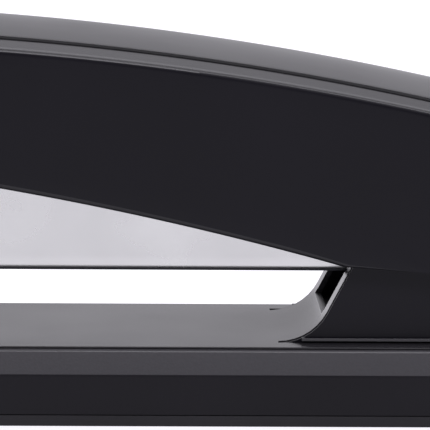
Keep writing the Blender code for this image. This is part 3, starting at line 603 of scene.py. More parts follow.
def box_mm(node: str) -> tuple[Array, Array]:
    """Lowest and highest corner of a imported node, in millimetres."""
    low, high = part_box(node)
    return np.array(low) / MM, np.array(high) / MM


PIVOT = np.array(frame["joints"][0]["pos_m"]) / MM
ANVIL_AXIS = (-84.9, 0.0, 0.0)


class Assembly:
    """A sub-assembly, whose methods named build_ and a piece make its pieces in the order written."""

    def build(self) -> None:
        """Make every piece."""
        for name in vars(type(self)):
            if name.startswith("build_"):
                getattr(self, name)()


# ---- base ---------------------------------------------------------------------------------------
@dataclass
class Base(Assembly):
    """The standing part: grained shell, rubber sole, satin deck, hub, bracket and hinge pin."""

    length: float = 202.0
    width: float = 41.0
    front_corner: float = 14.0
    rear_corner: float = 10.0
    rim_top: float = 11.6
    sole_gap: float = 0.12
    well_radius: float = 10.8
    flange: float = 0.6

    def plan(self, inset: Array) -> Array:
        """Rounded plan outlines, one for each inset.

        Four quarter circles joined by straight sides; each inset shrinks the circles about the same
        centres.

        Args:
            inset: Distance in from the base's edge, one per ring.

        Returns:
            Insets by points by XY.
        """
        quarter = np.radians(np.linspace(0.0, 90.0, 15))
        corners = []
        for k, (sx, sy) in enumerate(((1, 1), (-1, 1), (-1, -1), (1, -1))):
            corner = self.rear_corner if sx > 0 else self.front_corner
            centre = np.array([sx * (self.length / 2 - corner), sy * (self.width / 2 - corner)])
            angle = quarter + k * np.pi / 2
            ray = np.stack([np.cos(angle), np.sin(angle)], -1)
            corners.append(centre + (corner - inset)[:, None, None] * ray)
        t = np.linspace(0.0, 1.0, 13)[1:-1, None]
        parts = []
        for corner, following in zip(corners, corners[1:] + corners[:1]):
            parts += [corner, corner[:, -1:] * (1 - t) + following[:, :1] * t]
        return np.concatenate(parts, axis=1)

    def band(self, name: str, profile: list[Triple], hole: list[Pair]) -> Object:
        """A band round the base, with a round hole about the anvil's axis.

        Args:
            name: Object name.
            profile: The band's section: rows of inset, height and fillet reach.
            hole: Rows of height and radius.

        Returns:
            The new object.
        """
        section = rounded(profile)
        outline = self.plan(section[:, 0])
        height = np.broadcast_to(section[:, None, 1:], (*outline.shape[:2], 1))
        obj = loft(name, np.concatenate([outline, height], -1), 40.0)
        cut(obj, 40.0, turned(Axis.Z, ANVIL_AXIS, hole, 64))
        return obj

    def build_shell(self) -> None:
        """Shell: vertical side, grained chamfer with rounded corners, rim and a bed for the deck; from the
        chamfer up it is painted lighter as sheen, and the rim's top lighter still as a painted highlight.
        """
        foot = box_mm("rubber_foot")[1][2] + self.sole_gap
        bed = box_mm("base_shell")[1][2] - 1.0
        shell = self.band(
            "base_shell_moulding",
            [(2.4, 8.2, 0.0), (2.4, foot, 0.0), (0.0, foot, 0.1), (0.0, 7.8, 0.4), (1.4, 11.4, 0.4),
             (1.92, self.rim_top - 0.1, 0.08), (1.97, bed, 0.0)],
            [(5.0, 3.5), (9.9, 3.5), (9.9, self.well_radius), (13.0, self.well_radius)])
        mount(shell, Body.BASE, Finish.SHELL, "base_shell")
        # Painted highlight: the rim's upward faces get a much lighter, glossier colour than the shell.
        paint_lit_faces(shell, Finish.RIM_HIGHLIGHT, lambda centre, normal: (
            centre[:, 2] > self.rim_top - 0.4) & (normal[:, 2] > 0.6))

    def build_sole(self) -> None:
        """Sole: flat rubber with eased edges and a hole for the button."""
        top = box_mm("rubber_foot")[1][2]
        sole = self.band(
            "rubber_sole",
            [(6.0, 0.25, 0.0), (3.6, 0.25, 0.1), (3.2, 0.0, 0.2), (0.05, 0.0, 0.12), (0.0, top, 0.12),
             (3.0, top, 0.0)],
            [(-2.0, 8.2), (4.0, 8.2)])
        mount(sole, Body.BASE, Finish.RUBBER, "rubber_foot")

    def build_metal(self) -> None:
        """Deck, bracket and leaf spring."""
        press(Body.BASE,
              ("deck_plate", "_pressed", Finish.DECK, 0.05),
              ("hinge_bracket", "_pressed", Finish.STEEL, 0.18),
              ("base_spring", "", Finish.SPRING, 0.08))

    def build_hub(self) -> None:
        """Hub: moulded cheeks with eased edges, and a foot flange whose outer faces are painted light and
        glossy as a highlight, so it stands out from them.
        """
        rear, side = box_mm("rear_hub")[1][:2] - self.flange
        hub, = press(Body.BASE, ("rear_hub", "_moulding", Finish.HUB, 0.2))
        # Painted highlight: faces near the hub's outer extent, the flange, get a light colour.
        paint_lit_faces(hub, Finish.FLANGE_HIGHLIGHT, lambda centre, _: (
            np.abs(centre[:, 1]) > side) | (centre[:, 0] > rear))

    def build_fasteners(self) -> None:
        """Hinge pin with domed ends, its retaining rings, and the two screws under the hub."""
        low, high = box_mm("hinge_pin")
        half, radius = high[1], (high[0] - low[0]) / 2
        end = np.radians(np.linspace(80.0, 0.0, 6))
        dome = np.stack([-half + 0.5 * (1 - np.sin(end)), radius - 0.6 * (1 - np.cos(end))], -1)
        profile = np.concatenate([dome, dome[::-1] * np.array([-1.0, 1.0])])
        pin = loft("hinge_pin_turned", turned(Axis.Y, (PIVOT[0], 0, PIVOT[2]), profile))
        mount(pin, Body.BASE, Finish.STEEL, "hinge_pin")
        press(Body.BASE,
              ("pin_ring_left pin_ring_right", "_clip", Finish.SPRING, 0.12),
              ("base_screw_front base_screw_rear", "_pan", Finish.STEEL, 0.1))


# ---- anvil --------------------------------------------------------------------------------------
@dataclass
class Anvil(Assembly):
    """The turning anvil, the button under it and the spring round its stem."""

    radius: float = 10.5
    pocket_x: float = 2.8
    pocket_half: float = 1.05
    pocket_depth: float = 0.42
    button_travel: float = 1.05

    def relief(self, x: Array, y: Array) -> Array:
        """Depth of the pockets at points on the anvil's face.

        A pocket is a trough along Y whose depth follows a parabola from end to end and falls off with
        the fourth power of the distance from its middle line.

        Args:
            x: Distance from the anvil's centre along X.
            y: Distance from the anvil's centre along Y.

        Returns:
            Depth in millimetres.
        """
        depth = np.zeros_like(x)
        for side, inner, outer in ((-1, 0.6, 6.9), (1, 4.4, 8.9)):
            along = np.clip((np.abs(y) - inner) / (outer - inner), 0.0, 1.0)
            across = np.clip(np.abs(x - side * self.pocket_x) / self.pocket_half, 0.0, 1.0)
            depth += self.pocket_depth * 4 * along * (1 - along) * (1 - across ** 4)
        return depth

    def build_plate(self) -> None:
        """Anvil: a disc whose face is a polar height field, with an eased rim and a stub shaft."""
        top = box_mm("anvil_plate")[1][2]
        radii = np.concatenate([np.linspace(0.0, self.radius - 0.25, 46), [self.radius - 0.1, self.radius]])
        fall = np.concatenate([np.zeros(46), [0.05, 0.2]])
        angle = np.linspace(0.0, 2 * np.pi, 160, endpoint=False)
        x, y = radii[:, None] * np.cos(angle), radii[:, None] * np.sin(angle)
        face = np.stack([x + ANVIL_AXIS[0], y, top - fall[:, None] - self.relief(x, y)], -1)
        under = turned(Axis.Z, ANVIL_AXIS, [
            (10.75, self.radius), (10.7, self.radius - 0.1), (10.7, 2.0), (8.6, 2.0)], 160)
        plate = loft("anvil_disc", np.concatenate([face, under]), 30.0)
        mount(plate, Body.ANVIL, Finish.STEEL, "anvil_plate")

    def build_button(self) -> None:
        """Button: a dished push face, a rounded rim and a hollow stem."""
        low, high = box_mm("anvil_button")
        reach = np.linspace(0.0, 1.0, 12)
        dish = np.stack([low[2] + 0.35 - 0.35 * reach ** 2, 0.05 + 5.9 * reach], -1)
        rest = rounded([(low[2], 6.0, 0.0), (low[2] + 0.02, 7.0, 0.5), (2.9, 7.0, 0.2), (2.9, 3.2, 0.2),
                        (high[2], 3.2, 0.1), (high[2], 2.3, 0.1), (8.2, 2.3, 0.0)])
        button = loft("anvil_push_button", turned(Axis.Z, ANVIL_AXIS, np.concatenate([dish, rest[1:]]), 64))
        mount(button, Body.BUTTON, Finish.STEEL, "anvil_button")

    def build_spring(self) -> None:
        """Coil round the stem, shown as short as the pushed button leaves it."""
        rings = coil("anvil_spring", Axis.Z, ANVIL_AXIS, 4.3, 0.35, 2.5, 0.5, self.button_travel)
        spring = loft("anvil_return_coil", rings, 60.0)
        mount(spring, Body.BASE, Finish.SPRING, "anvil_spring")


# ---- magazine -----------------------------------------------------------------------------------
@dataclass
class Magazine(Assembly):
    """Bright housing folded round the nose, dark track, core, guide, rod, coil, bush and pusher."""

    half: float = 8.4
    wall: float = 0.8
    front: float = -91.1
    nose_radius: float = 1.5
    bottom: float = 22.1
    front_top: float = 37.4
    bend_top: float = 41.8
    bend_x: float = -18.0
    rear_fall: float = 0.034
    hip: float = 12.0
    tail_radius: float = 8.9
    tail_turn: float = math.radians(84.0)
    rivets: Triple = (64.0, 70.5, 25.6)
    bridge: Pair = (41.0, 62.0)
    rib: Triple = (0.3, 3.6, 0.8)

    def rear_top(self, x: Array | float) -> Array | float:
        """Height of the upper edge's rear run."""
        return self.bend_top - (x - self.bend_x) * self.rear_fall

    def upper(self, x: Array) -> Array:
        """Height of the housing's upper edge: two straight runs, then down round the tail.

        Args:
            x: Distance along the stapler.

        Returns:
            Heights.
        """
        rise = (self.bend_top - self.front_top) * (x - self.front) / (self.bend_x - self.front)
        run = np.where(x < self.bend_x, self.front_top + rise, self.rear_top(x))
        hip_x = PIVOT[0] - self.hip
        tail_x = PIVOT[0] + self.tail_radius * math.cos(self.tail_turn)
        tail_z = PIVOT[2] + self.tail_radius * math.sin(self.tail_turn)
        ramp = self.rear_top(hip_x) + (x - hip_x) / (tail_x - hip_x) * (tail_z - self.rear_top(hip_x))
        return np.where(x < hip_x, run, np.where(x < tail_x, ramp, PIVOT[2] + self.tail_height(x)))

    def lower(self, x: Array) -> Array:
        """Height of the housing's lower edge: level, then up round the tail."""
        return np.where(x < PIVOT[0], self.bottom, PIVOT[2] - self.tail_height(x))

    def tail_height(self, x: Array) -> Array:
        """Half height of the round tail at a distance behind the pin."""
        return np.sqrt(np.maximum(0.0, self.tail_radius ** 2 - np.maximum(0.0, x - PIVOT[0]) ** 2))

    def wrap(self, offset: float) -> Array:
        """Plan path of the folded strip: along one side, round the nose and back along the other.

        Args:
            offset: Distance in from the outer face.

        Returns:
            Points by XY.
        """
        tail = PIVOT[0] + self.tail_radius * np.sin(np.radians(np.linspace(90.0, 0.0, 15)))
        side_x = np.concatenate([tail, np.linspace(PIVOT[0] - 4, self.front + self.nose_radius, 90)])
        side = np.stack([side_x, np.full_like(side_x, -self.half + offset)], -1)
        angle = np.radians(np.linspace(270.0, 180.0, 8))[1:]
        centre = np.array([self.front + self.nose_radius, -self.half + self.nose_radius])
        corner = centre + (self.nose_radius - offset) * np.stack([np.cos(angle), np.sin(angle)], -1)
        across = np.linspace(corner[-1, 1], 0.0, 8)[1:]
        face = np.stack([np.full_like(across, self.front + offset), across], -1)
        half = np.concatenate([side, corner, face])
        return np.concatenate([half, half[-2::-1] * np.array([1.0, -1.0])])

    def build_housing(self) -> None:
        """Housing: an upright strip whose upper and lower edges are rolled inwards a little."""
        share = np.concatenate([[0.0, 0.012, 0.03], np.linspace(0.1, 0.9, 9), [0.97, 0.988, 1.0]])
        roll = np.array([0.22, 0.06, 0.0] + [0.0] * 9 + [0.0, 0.06, 0.22])
        path = self.wrap(0.0)
        inward = (self.wrap(1.0) - path)[:, None, :]
        low, high = self.lower(path[:, 0])[:, None], self.upper(path[:, 0])[:, None]
        z = (low + (high - low) * share)[..., None]
        outer, inner = (np.concatenate([self.wrap(offset)[:, None, :] + inward * tuck[:, None], z], -1)
                        for offset, tuck in ((0.0, roll), (self.wall, 0 * roll)))
        housing = sheet_solid("magazine_housing_folded", outer, inner, 50.0)
        holes = [(PIVOT[0], PIVOT[2], 2.3)] + [(x, self.rivets[2], 1.2) for x in self.rivets[:2]]
        cut(housing, 50.0, *(turned(Axis.Y, (x, 0, z), [(-12.0, radius), (12.0, radius)])
                             for x, z, radius in holes))
        mount(housing, Body.MAGAZINE, Finish.BRIGHT, "magazine_housing")

    def build_bridge(self) -> None:
        """Bridge over the rear of the housing: a plate with two stiffening ribs pressed up in it."""
        front, rear = self.bridge
        rib_height, rib_y, rib_width = self.rib
        x = np.linspace(front, rear, 43)[:, None]
        y = np.linspace(-1.0, 1.0, 41) * (self.half - self.wall - 0.02)
        ends = smoothstep(np.abs(x - (front + rear) / 2), 8.5, 5.5)
        rib = rib_height * np.exp(-((np.abs(y) - rib_y) / rib_width) ** 2) * ends
        upper = np.stack(np.broadcast_arrays(x, y, self.rear_top(rear) - 0.15 - rib_height + rib), -1)
        bridge = sheet_solid("magazine_bridge", upper, upper - np.array([0.0, 0.0, self.wall]), 35.0)
        mount(ease_edges(bridge, 0.12), Body.MAGAZINE, Finish.BRIGHT)

    def build_inside(self) -> None:
        """Pieces inside the housing."""
        press(Body.MAGAZINE,
              ("staple_track", "_channel", Finish.TRACK, 0.14),
              ("track_core", "_rail", Finish.STEEL, 0.14),
              ("front_guide", "_plate", Finish.TRACK, 0.14),
              ("guide_rod", "_drawn", Finish.STEEL, 0.2),
              ("pivot_bush", "_turned", Finish.STEEL, 0.2),
              ("magazine_rivet_front magazine_rivet_rear", "_set", Finish.STEEL, 0.08))
        rings = coil("pusher_spring", Axis.X, (0.0, 0.0, 25.2), 1.75, 0.32, 34.0, 2.0)
        mount(loft("pusher_coil", rings, 60.0), Body.MAGAZINE, Finish.SPRING, "pusher_spring")
        press(Body.PUSHER, ("pusher", "_saddle", Finish.PUSHER, 0.12))


# ---- handle -------------------------------------------------------------------------------------
@dataclass
class Handle(Assembly):
    """Cover with rounded shoulders, satin grip in its seat, steel frame, driver and leaf spring."""

    height: float = 60.0
    crest_x: float = -28.6
    back_radius: float = 472.0
    half: float = 16.0
    wall: float = 1.8
    foot_drop: float = 3.35
    knee: Pair = (15.0, 2.05)
    lip: Pair = (12.82, 1.23)
    seat_half: float = 12.7
    seat_depth: float = 1.65
    roof_depth: float = 1.2
    roof_front: Pair = (-93.0, -87.5)
    roof_rear: Pair = (86.5, 81.0)
    seat_front: float = -86.4
    seat_rear: float = 80.4
    seat_corner: float = 6.0
    seat_gap: float = 0.4
    seat_edge: Triple = (0.08, 0.25, 0.1)
    nose_x: float = -97.9
    nose_foot: Pair = (-95.6, 36.9)
    nose_top_x: float = -80.0
    taper: Triple = (-60.0, 6.0, 7.0)
    heel: Pair = (56.6, 23.55)
    edge_rise: float = 0.279
    edge_bow: float = 0.00103
    bend_x: float = -18.0
    bend_reach: float = 9.0
    switch_x: float = 44.0
    seam_z: float = 22.5
    slot_half: float = 10.9
    slot_end: float = 82.0
    edge_radius: float = 0.8
    draft: float = 0.25
    shoulder_tilt: float = 0.5
    crown: float = 0.75
    grip_roll: float = 0.18
    rear_steps: int = 60
    corner_steps: int = 8
    side_steps: int = 9
    fade_steps: Pair = (8.0, 18.0)

    def __post_init__(self) -> None:
        """Work out the round rear end, which runs on from the back without a corner."""
        centre_z = self.height - self.back_radius
        dx, dz = PIVOT[0] - self.crest_x, PIVOT[2] - centre_z
        self.rear_radius = self.back_radius - math.hypot(dx, dz)
        self.back_end_angle = math.degrees(math.atan2(dz, dx))
        self.seam_angle = -180.0 + math.degrees(math.asin((PIVOT[2] - self.seam_z) / self.rear_radius))
        self.seam_x, self.slot_x, self.last_x = (
            PIVOT[0] + self.rear_radius * math.cos(math.radians(angle))
            for angle in (self.seam_angle, self.slot_end, self.back_end_angle))

    def back(self, x: Array) -> Array:
        """Height of the back's long arc."""
        return self.height - self.back_radius + np.sqrt(self.back_radius ** 2 - (x - self.crest_x) ** 2)

    def bowed(self, x: Array | float) -> Array | float:
        """Height of the lower edge's gently bowed run, which starts at the heel."""
        run = self.heel[0] - x
        return self.heel[1] + self.edge_rise * run - self.edge_bow * run ** 2

    def edge(self, x: Array) -> Array:
        """Height of the lower edge.

        A straight run from the nose meets a gently bowed run from the heel in a parabola at the bend,
        and behind the heel the edge falls straight to the seam over the hub.

        Args:
            x: Distance along the stapler.

        Returns:
            Heights.
        """
        start_x = self.bend_x + self.bend_reach
        slope = self.edge_rise - 2 * self.edge_bow * (self.heel[0] - start_x)
        bend_z = self.bowed(start_x) + self.bend_reach * slope
        front_rise = (bend_z - self.nose_foot[1]) / (self.bend_x - self.nose_foot[0])
        front = bend_z + (x - self.bend_x) * front_rise
        t = np.clip((start_x - x) / (2 * self.bend_reach), 0.0, 1.0)
        curve = bent(self.bowed(start_x), bend_z, bend_z - self.bend_reach * front_rise, t)
        tail = self.heel[1] + (x - self.heel[0]) * (self.seam_z - self.heel[1]) / (self.seam_x - self.heel[0])
        end_x = self.bend_x - self.bend_reach
        return np.select([x >= self.heel[0], x > start_x, x < end_x], [tail, self.bowed(x), front], curve)

    def nose(self) -> Array:
        """Front outline from the foot up to the back: a short rounded foot and a cubic curve.

        Returns:
            Points by XZ.
        """
        top_x, top_z = self.nose_top_x, float(self.back(np.array(self.nose_top_x)))
        foot_x, foot_z = self.nose_foot
        hull = np.array([(self.nose_x + 0.9, foot_z + 1.6), (self.nose_x - 1.2, 50.2),
                         (top_x - 11.0, top_z - 1.1), (top_x, top_z)])
        t = np.linspace(0.0, 1.0, 23)[:, None]
        curve = np.concatenate([(1 - t) ** 3, 3 * t * (1 - t) ** 2, 3 * t ** 2 * (1 - t), t ** 3], 1) @ hull
        foot = fillet((self.nose_x + 1.15, foot_z + 0.12), (foot_x, foot_z), hull[0], 0.7, 3)
        return np.concatenate([[self.nose_foot], foot, curve])

    def stations(self) -> tuple[Array, Array, Array]:
        """Matching points along the crown line and the lower edge.

        The crown line runs from the foot of the nose over the back and round the rear end to the seam.
        Each of its points has a partner on the lower edge, so that the side between them is a ruled
        sheet.

        Returns:
            Crown points by XZ, their outward normals, and lower-edge points by XZ.
        """
        nose = self.nose()
        reach = (-0.4, self.seat_corner + 0.3)
        front_x = np.linspace(self.seat_front + reach[0], self.seat_front + reach[1], 20)
        rear_x = np.linspace(self.seat_rear - reach[1], self.seat_rear - reach[0], 20)
        x = np.concatenate([front_x[front_x > self.nose_top_x + 0.4], np.linspace(-78.6, 73.2, 64), rear_x,
                            np.linspace(self.seat_rear + 1.2, self.slot_x, 5)])
        back = np.stack([x, self.back(x)], -1)[x < self.last_x - 0.2]
        turn = np.radians(np.linspace(self.back_end_angle, self.seam_angle, self.rear_steps))
        rear = PIVOT[[0, 2]] + self.rear_radius * np.stack([np.cos(turn), np.sin(turn)], -1)
        crown = np.concatenate([nose, back, rear])
        steps = np.gradient(crown, axis=0)
        normal = np.stack([-steps[:, 1], steps[:, 0]], -1)
        normal /= np.linalg.norm(normal, axis=1, keepdims=True)
        return crown, normal, self.partners(crown, len(nose))

    def partners(self, crown: Array, nose_count: int) -> Array:
        """Lower-edge point for each crown point.

        Along the nose the partner moves with the distance climbed, along the back it lies straight
        below, and from a switch point on it closes on the seam as the crown line goes round the rear.

        Args:
            crown: Crown points by XZ.
            nose_count: How many of them are on the nose.

        Returns:
            Lower-edge points by XZ.
        """
        x = crown[:, 0].copy()
        run = np.concatenate([[0.0], np.cumsum(np.linalg.norm(np.diff(crown, axis=0), axis=1))])
        climbed = run[:nose_count] / run[nose_count - 1]
        x[:nose_count] = self.nose_foot[0] + (x[nose_count - 1] - self.nose_foot[0]) * climbed ** 1.3
        switch = np.flatnonzero((crown[:, 0] > self.switch_x) & (np.arange(len(crown)) > nose_count))[0]
        share = (run[switch:] - run[switch]) / (run[-1] - run[switch])
        x[switch:] = crown[switch, 0] + (self.seam_x - crown[switch, 0]) * share
        return np.stack([x, self.edge(x)], -1)

    def plan_taper(self, x: Array, y: Array) -> Array:
        """How far the nose is drawn back towards the sides, seen from above.

        Args:
            x: Distance along the stapler.
            y: Distance across it.

        Returns:
            Distances towards the rear.
        """
        start_x, start_y, depth = self.taper
        side = np.maximum(0.0, np.abs(y) - start_y) / (self.half - start_y)
        reach = np.maximum(0.0, (start_x - x) / (start_x - self.nose_x))
        return depth * (1.0 - np.sqrt(np.maximum(0.0, 1.0 - 0.92 * side ** 2))) * reach ** 2

    def seat(self, x: Array, y: Array) -> tuple[Array, Array]:
        """Where the grip's seat lies: a rounded rectangle with an eased upper edge.

        Args:
            x: Distance along the stapler.
            y: Distance across it.

        Returns:
            A mask, 1 on the seat's floor, and the small fall of the back towards its edge.
        """
        corner = self.seat_corner
        mid, half_x = (self.seat_front + self.seat_rear) / 2, (self.seat_rear - self.seat_front) / 2
        qx = np.abs(x - mid) - (half_x - corner)
        qy = np.abs(y) - (self.seat_half - corner)
        outside = np.hypot(np.maximum(qx, 0.0), np.maximum(qy, 0.0)) + np.minimum(np.maximum(qx, qy), 0.0)
        inside = corner - outside
        wall_run, lip_run, lip_fall = self.seat_edge
        return (np.clip(inside / wall_run, 0.0, 1.0),
                lip_fall * np.clip((inside + lip_run) / lip_run, 0.0, 1.0) ** 2)

    def section(self) -> Array:
        """Columns of the cover's section, from one lower edge over the back to the other.

        The side ends in a rounded corner, then comes a sloping shoulder, then the crowned back.

        Returns:
            Five rows: outer Y, inner Y, outer drop, inner drop past the roof, and place on the side
            (-1 to 0 round the lower edge, 0 to 1 up to the corner's foot).
        """
        turn = np.radians(np.linspace(90.0, 0.0, self.corner_steps))
        side = np.linspace(0.0, 1.0, self.side_steps + 1)[1:]
        upright = self.corner_steps + self.side_steps
        foot, knee, lip = np.array([(self.half, self.foot_drop), self.knee, self.lip])
        slope = (knee[1] - lip[1]) / (knee[0] - lip[0])
        control = np.array([self.half, knee[1] + (self.half - knee[0]) * slope])
        t = np.linspace(0.0, 1.0, 12)[1:]
        corner = bent(foot, control, knee, t[:, None])
        facet = knee + (lip - knee) * np.linspace(0.0, 1.0, 7)[1:, None]
        flat = np.array([12.7, 12.62, 12.2, 11.8, 11.4, 10.9, 10.3, 9.7, 9.1, 8.5, 7.9, 7.3, 6.7, 4.0, 1.5])
        inner_half, inner_knee = self.half - self.wall, 13.4
        straight = np.ones(self.side_steps)
        outward = [self.half - self.edge_radius * (1 - np.cos(turn)), self.half * straight,
                   corner[:, 0], facet[:, 0], flat]
        inward = [inner_half + 0.3 * np.sin(turn) ** 2, inner_half * straight,
                  np.linspace(inner_half, inner_knee, 12)[1:], np.linspace(inner_knee, lip[0], 7)[1:], flat]
        drop = [np.full(upright, foot[1]), corner[:, 1], facet[:, 1], lip[1] * (flat / lip[0]) ** 2]
        inner_drop = [np.full(upright, 1.2), 1.2 * (1 - t) ** 2, np.zeros(len(facet) + len(flat))]
        place = [-np.sin(turn[:-1]), [0.0], side, np.ones(len(t) + len(facet) + len(flat))]
        half = np.stack([np.concatenate(row) for row in (outward, inward, drop, inner_drop, place)])
        return np.concatenate([half * np.array([[-1.0], [-1.0], [1.0], [1.0], [1.0]]), half[:, ::-1]], axis=1)

    def sheet(self, line: tuple[Array, Array, Array], y: Array, place: Array, drop: Array,
              radius: float = 0.0, draft: float = 0.0) -> Array:
        """One sheet of the cover.

        On the back and the shoulders a point lies a drop inside the crown line. On the side it lies on
        the straight line from the lower edge to the shoulder's foot. Below that the edge rolls under.

        Args:
            line: Crown points, their normals and lower-edge points, as stations gives them.
            y: Y of each column.
            place: Place of each column on the side.
            drop: Depth below the crown line, rows by columns.
            radius: Radius of the rolled lower edge.
            draft: How much the side leans in from its foot to the shoulder.

        Returns:
            Rows by columns by XYZ.
        """
        crown, normal, low = (part[:, None, :] for part in line)
        climb = np.clip(place, 0.0, 1.0)
        over = crown - normal * drop[..., None]
        span = np.linalg.norm(over - low, axis=-1, keepdims=True)
        start = low + (over - low) * np.minimum(1.0, radius / np.maximum(span, 1e-6))
        side = start + (over - start) * climb[:, None]
        rolled = low + (start - low) * np.clip(1.0 + place, 0.0, 1.0)[:, None]
        x, z = np.moveaxis(np.where(place[:, None] < 0.0, rolled, side), -1, 0)
        lean = draft * climb ** 2 * np.clip((np.abs(y) - self.lip[0] - 0.08) / 2.0, 0.0, 1.0)
        y = np.broadcast_to(y - np.sign(y) * lean, x.shape)
        return np.stack([x + self.plan_taper(x, y), y, z], -1)

    def build_cover(self) -> None:
        """Cover: a ruled double sheet from nose to seam, slotted at the rear for the hinge's ears."""
        line = self.stations()
        outer_y, inner_y, fall, inner_fall, place = self.section()
        x = line[0][:, :1]
        row = np.arange(len(x))[:, None]
        fade = np.minimum(1.0, np.minimum(row / self.fade_steps[0], (len(x) - 1 - row) / self.fade_steps[1]))
        on_rear = row >= len(x) - self.rear_steps
        floor, lip = self.seat(x, outer_y)
        on_back = ~on_rear & (place == 1.0) & (np.abs(outer_y) < self.lip[0] + 0.1)
        drop = np.where(on_back, (fall * fade + lip) * (1 - floor) + self.seat_depth * floor, fall * fade)
        roof = self.wall + self.roof_depth * smoothstep(x, *self.roof_front) * smoothstep(x, *self.roof_rear)
        outer = self.sheet(line, outer_y, place, drop, self.edge_radius, self.draft)
        inner = self.sheet(line, inner_y, place, roof + inner_fall * fade)
        behind = (x >= self.slot_x - 1e-6) | on_rear
        keep = ~(behind[:-1] & (np.abs(outer_y[:-1] + outer_y[1:]) / 2 < self.slot_half))
        cover = sheet_solid("handle_cover", outer, inner, 42.0, keep)
        mount(cover, Body.HANDLE, Finish.COVER, "handle_shell")
        # Painted sheen: the shoulders' upward-facing faces get a lighter, glossier colour than the rest of
        # the black cover.
        paint_lit_faces(cover, Finish.SHOULDER_SHEEN, lambda centre, normal: (
            np.abs(centre[:, 1]) > self.seat_half) & (normal[:, 2] > self.shoulder_tilt))
        # Painted highlight: the rolled lower edge's downward faces get a slightly lighter, glossier colour.
        paint_lit_faces(cover, Finish.LOWER_EDGE_HIGHLIGHT, lambda centre, normal: (
            np.abs(centre[:, 1]) > self.half - 1.1) & (normal[:, 2] < -0.05))

    def build_grip(self) -> None:
        """Grip: a long strip with rounded corners in plan, a crowned face and rolled edges."""
        half, corner, roll = self.seat_half - self.seat_gap, self.seat_corner - self.seat_gap, self.grip_roll
        front, rear = self.seat_front + self.seat_gap, self.seat_rear - self.seat_gap
        ease = corner * (1 - np.cos(np.linspace(0.0, np.pi / 2, 18)))
        x = np.concatenate([front + ease, np.linspace(front + corner, rear - corner, 72)[1:-1],
                            rear - ease[::-1]])[:, None]
        near = np.minimum(np.minimum(x - front, rear - x), corner)
        width = half - corner + np.sqrt(corner ** 2 - (corner - near) ** 2)
        end_fall = roll - np.sqrt(np.maximum(0.0, roll ** 2 - np.maximum(0.0, roll - near) ** 2))
        angle = np.linspace(0.0, np.pi / 2, 7)
        across = np.linspace(-1.0, 1.0, 33)[1:-1]
        rim, edge = roll * (1 - np.cos(angle)), roll * (1 - np.sin(angle))
        y = np.concatenate([rim - width, (width - roll) * across, width - rim[::-1]], 1)
        fall = np.concatenate([edge, 0 * across, edge[::-1]])
        top = self.back(x) - self.crown * (y / half) ** 2 - np.maximum(fall, end_fall)
        bottom_y = width * np.linspace(1.0, -1.0, 9)
        bottom = np.broadcast_to(self.back(x) - self.seat_depth + 0.3, bottom_y.shape)
        ring_y = np.concatenate([y, bottom_y], 1)
        rings = np.stack([np.broadcast_to(x, ring_y.shape), ring_y, np.concatenate([top, bottom], 1)], -1)
        mount(loft("top_grip_insert", rings, 40.0), Body.HANDLE, Finish.GRIP, "top_grip")

    def build_inside(self) -> None:
        """Frame, driver, leaf spring and their fasteners."""
        press(Body.HANDLE,
              ("handle_frame", "_pressed", Finish.STEEL, 0.2),
              ("driver_blade", "_ground", Finish.SPRING, 0.1),
              ("handle_spring", "", Finish.SPRING, 0.1),
              ("spring_rivet", "_set", Finish.STEEL, 0.15),
              ("driver_rivet_left driver_rivet_right", "_set", Finish.STEEL, 0.12),
              ("handle_screw_front handle_screw_rear", "_pan", Finish.STEEL, 0.12))


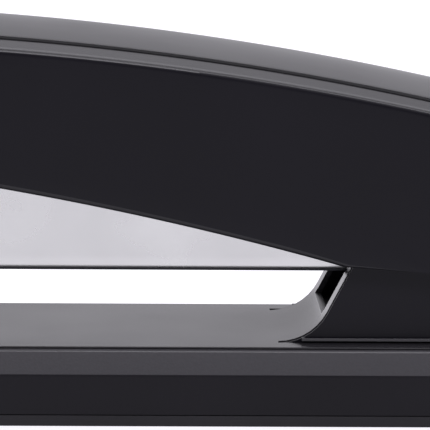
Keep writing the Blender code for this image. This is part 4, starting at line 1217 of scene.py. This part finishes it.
# ---- studio -------------------------------------------------------------------------------------
@dataclass
class Studio(Assembly):
    """Pale floor, soft light and the camera."""

    floor_half: float = 7.0
    elevation: float = 9.6
    distance: float = 1000.0
    aim: Triple = (37.54, 0.0, 28.85)
    stand_x: float = -4.0
    frame_width: float = 65.7
    sensor: float = 36.0
    roll: float = 0.7
    tint: Triple = (1.02, 1.0, 1.07)
    sky_base: float = 0.1
    table_glow: float = 0.68
    lobes: tuple[tuple[Triple, float, float, float], ...] = (
        ((0.0, 1.0, 0.0), -0.1, 0.5, 0.6),
        ((0.0, 0.0, 1.0), 0.4, 0.9, 0.7),
    )
    softboxes: tuple[tuple[str, Triple, Pair, float], ...] = (
        ("softbox_front", (0.0, -0.62, 0.95), (1.5, 0.3), 5.0),
        ("softbox_top", (0.1, 0.35, 1.3), (1.6, 0.5), 2.5),
    )

    def build_floor(self) -> None:
        """A plain pale floor: a translucent table, softly lit from below as well as from above."""
        half = self.floor_half
        mesh = bpy.data.meshes.new("floor")
        mesh.from_pydata([(-half, -half, 0), (half, -half, 0), (half, half, 0), (-half, half, 0)],
                         [], [(0, 1, 2, 3)])
        floor = bpy.data.objects.new("floor", mesh)
        bpy.context.scene.collection.objects.link(floor)
        nodes = Nodes("floor_pale")
        nodes.dress(Roughness=0.9, Specular_IOR_Level=0.1, Base_Color=(0.4, 0.4, 0.4, 1.0),
                    Emission_Color=(*self.tint, 1.0), Emission_Strength=self.table_glow)
        mesh.materials.append(nodes.material)

    def build_world(self) -> None:
        """Sky of soft light: a dim base and lobes that grow towards a direction.

        Each lobe adds its share as the direction's part along its axis rises from a start to an end.
        """
        world = bpy.data.worlds.new("light_tent")
        bpy.context.scene.world = world
        world.use_nodes = True
        tree = world.node_tree
        coords = add_node(tree, "TexCoord", "Generated", {})
        total: Socket | float = self.sky_base
        for axis, start, end, share in self.lobes:
            part = add_node(tree, "VectorMath", "Value", {0: coords, 1: axis}, operation="DOT_PRODUCT")
            span = {"Value": part, "From Min": start, "From Max": end, "To Max": share}
            ramp = add_node(tree, "MapRange", "Result", span, interpolation_type="SMOOTHSTEP")
            total = add_node(tree, "Math", "Value", {0: ramp, 1: total})
        background = tree.nodes["Background"]
        fill(tree, background.inputs["Strength"], total)
        fill(tree, background.inputs["Color"], (*self.tint, 1.0))

    def place(self, name: str, data: bpy.types.ID, position: Vector, target: Vector) -> Object:
        """Put a light or a camera in the scene.

        Args:
            name: Object name.
            data: The light or the camera.
            position: Where it stands, in metres.
            target: What it faces, in metres.

        Returns:
            The new object.
        """
        obj = bpy.data.objects.new(name, data)
        obj.location = position
        obj.rotation_euler = (target - position).to_track_quat("-Z", "Y").to_euler()
        bpy.context.scene.collection.objects.link(obj)
        return obj

    def build_softboxes(self) -> None:
        """Rectangular area lights that face the stapler, each with a brightness of its face."""
        for name, position, size, radiance in self.softboxes:
            light = bpy.data.lights.new(name, "AREA")
            light.shape = "RECTANGLE"
            light.size, light.size_y = size
            light.energy = radiance * math.pi * size[0] * size[1]
            light.color = self.tint
            self.place(name, light, Vector(position), Vector((0.0, 0.0, 0.03)))

    def build_camera(self) -> None:
        """Camera in front of the stapler's long side, a little above it, aimed to the right of its middle."""
        rise = math.radians(self.elevation)
        position = Vector((self.stand_x, -self.distance * math.cos(rise),
                           self.aim[2] + self.distance * math.sin(rise))) * MM
        target = Vector(self.aim) * MM
        camera = bpy.data.cameras.new("camera")
        camera.sensor_width = self.sensor
        camera.lens = self.sensor * (target - position).length / (self.frame_width * MM)
        camera.clip_start, camera.clip_end = 0.05, 60.0
        obj = self.place("camera", camera, position, target)
        obj.rotation_euler.rotate_axis("Z", math.radians(self.roll))
        bpy.context.scene.camera = obj
        bpy.context.scene.view_settings.view_transform = "Standard"


def main() -> None:
    """Build the studio and every sub-assembly."""
    logging.basicConfig(level=logging.INFO, format="%(message)s")
    for assembly in (Studio(), Base(), Anvil(), Magazine(), Handle()):
        assembly.build()


if __name__ == "__main__":
    main()
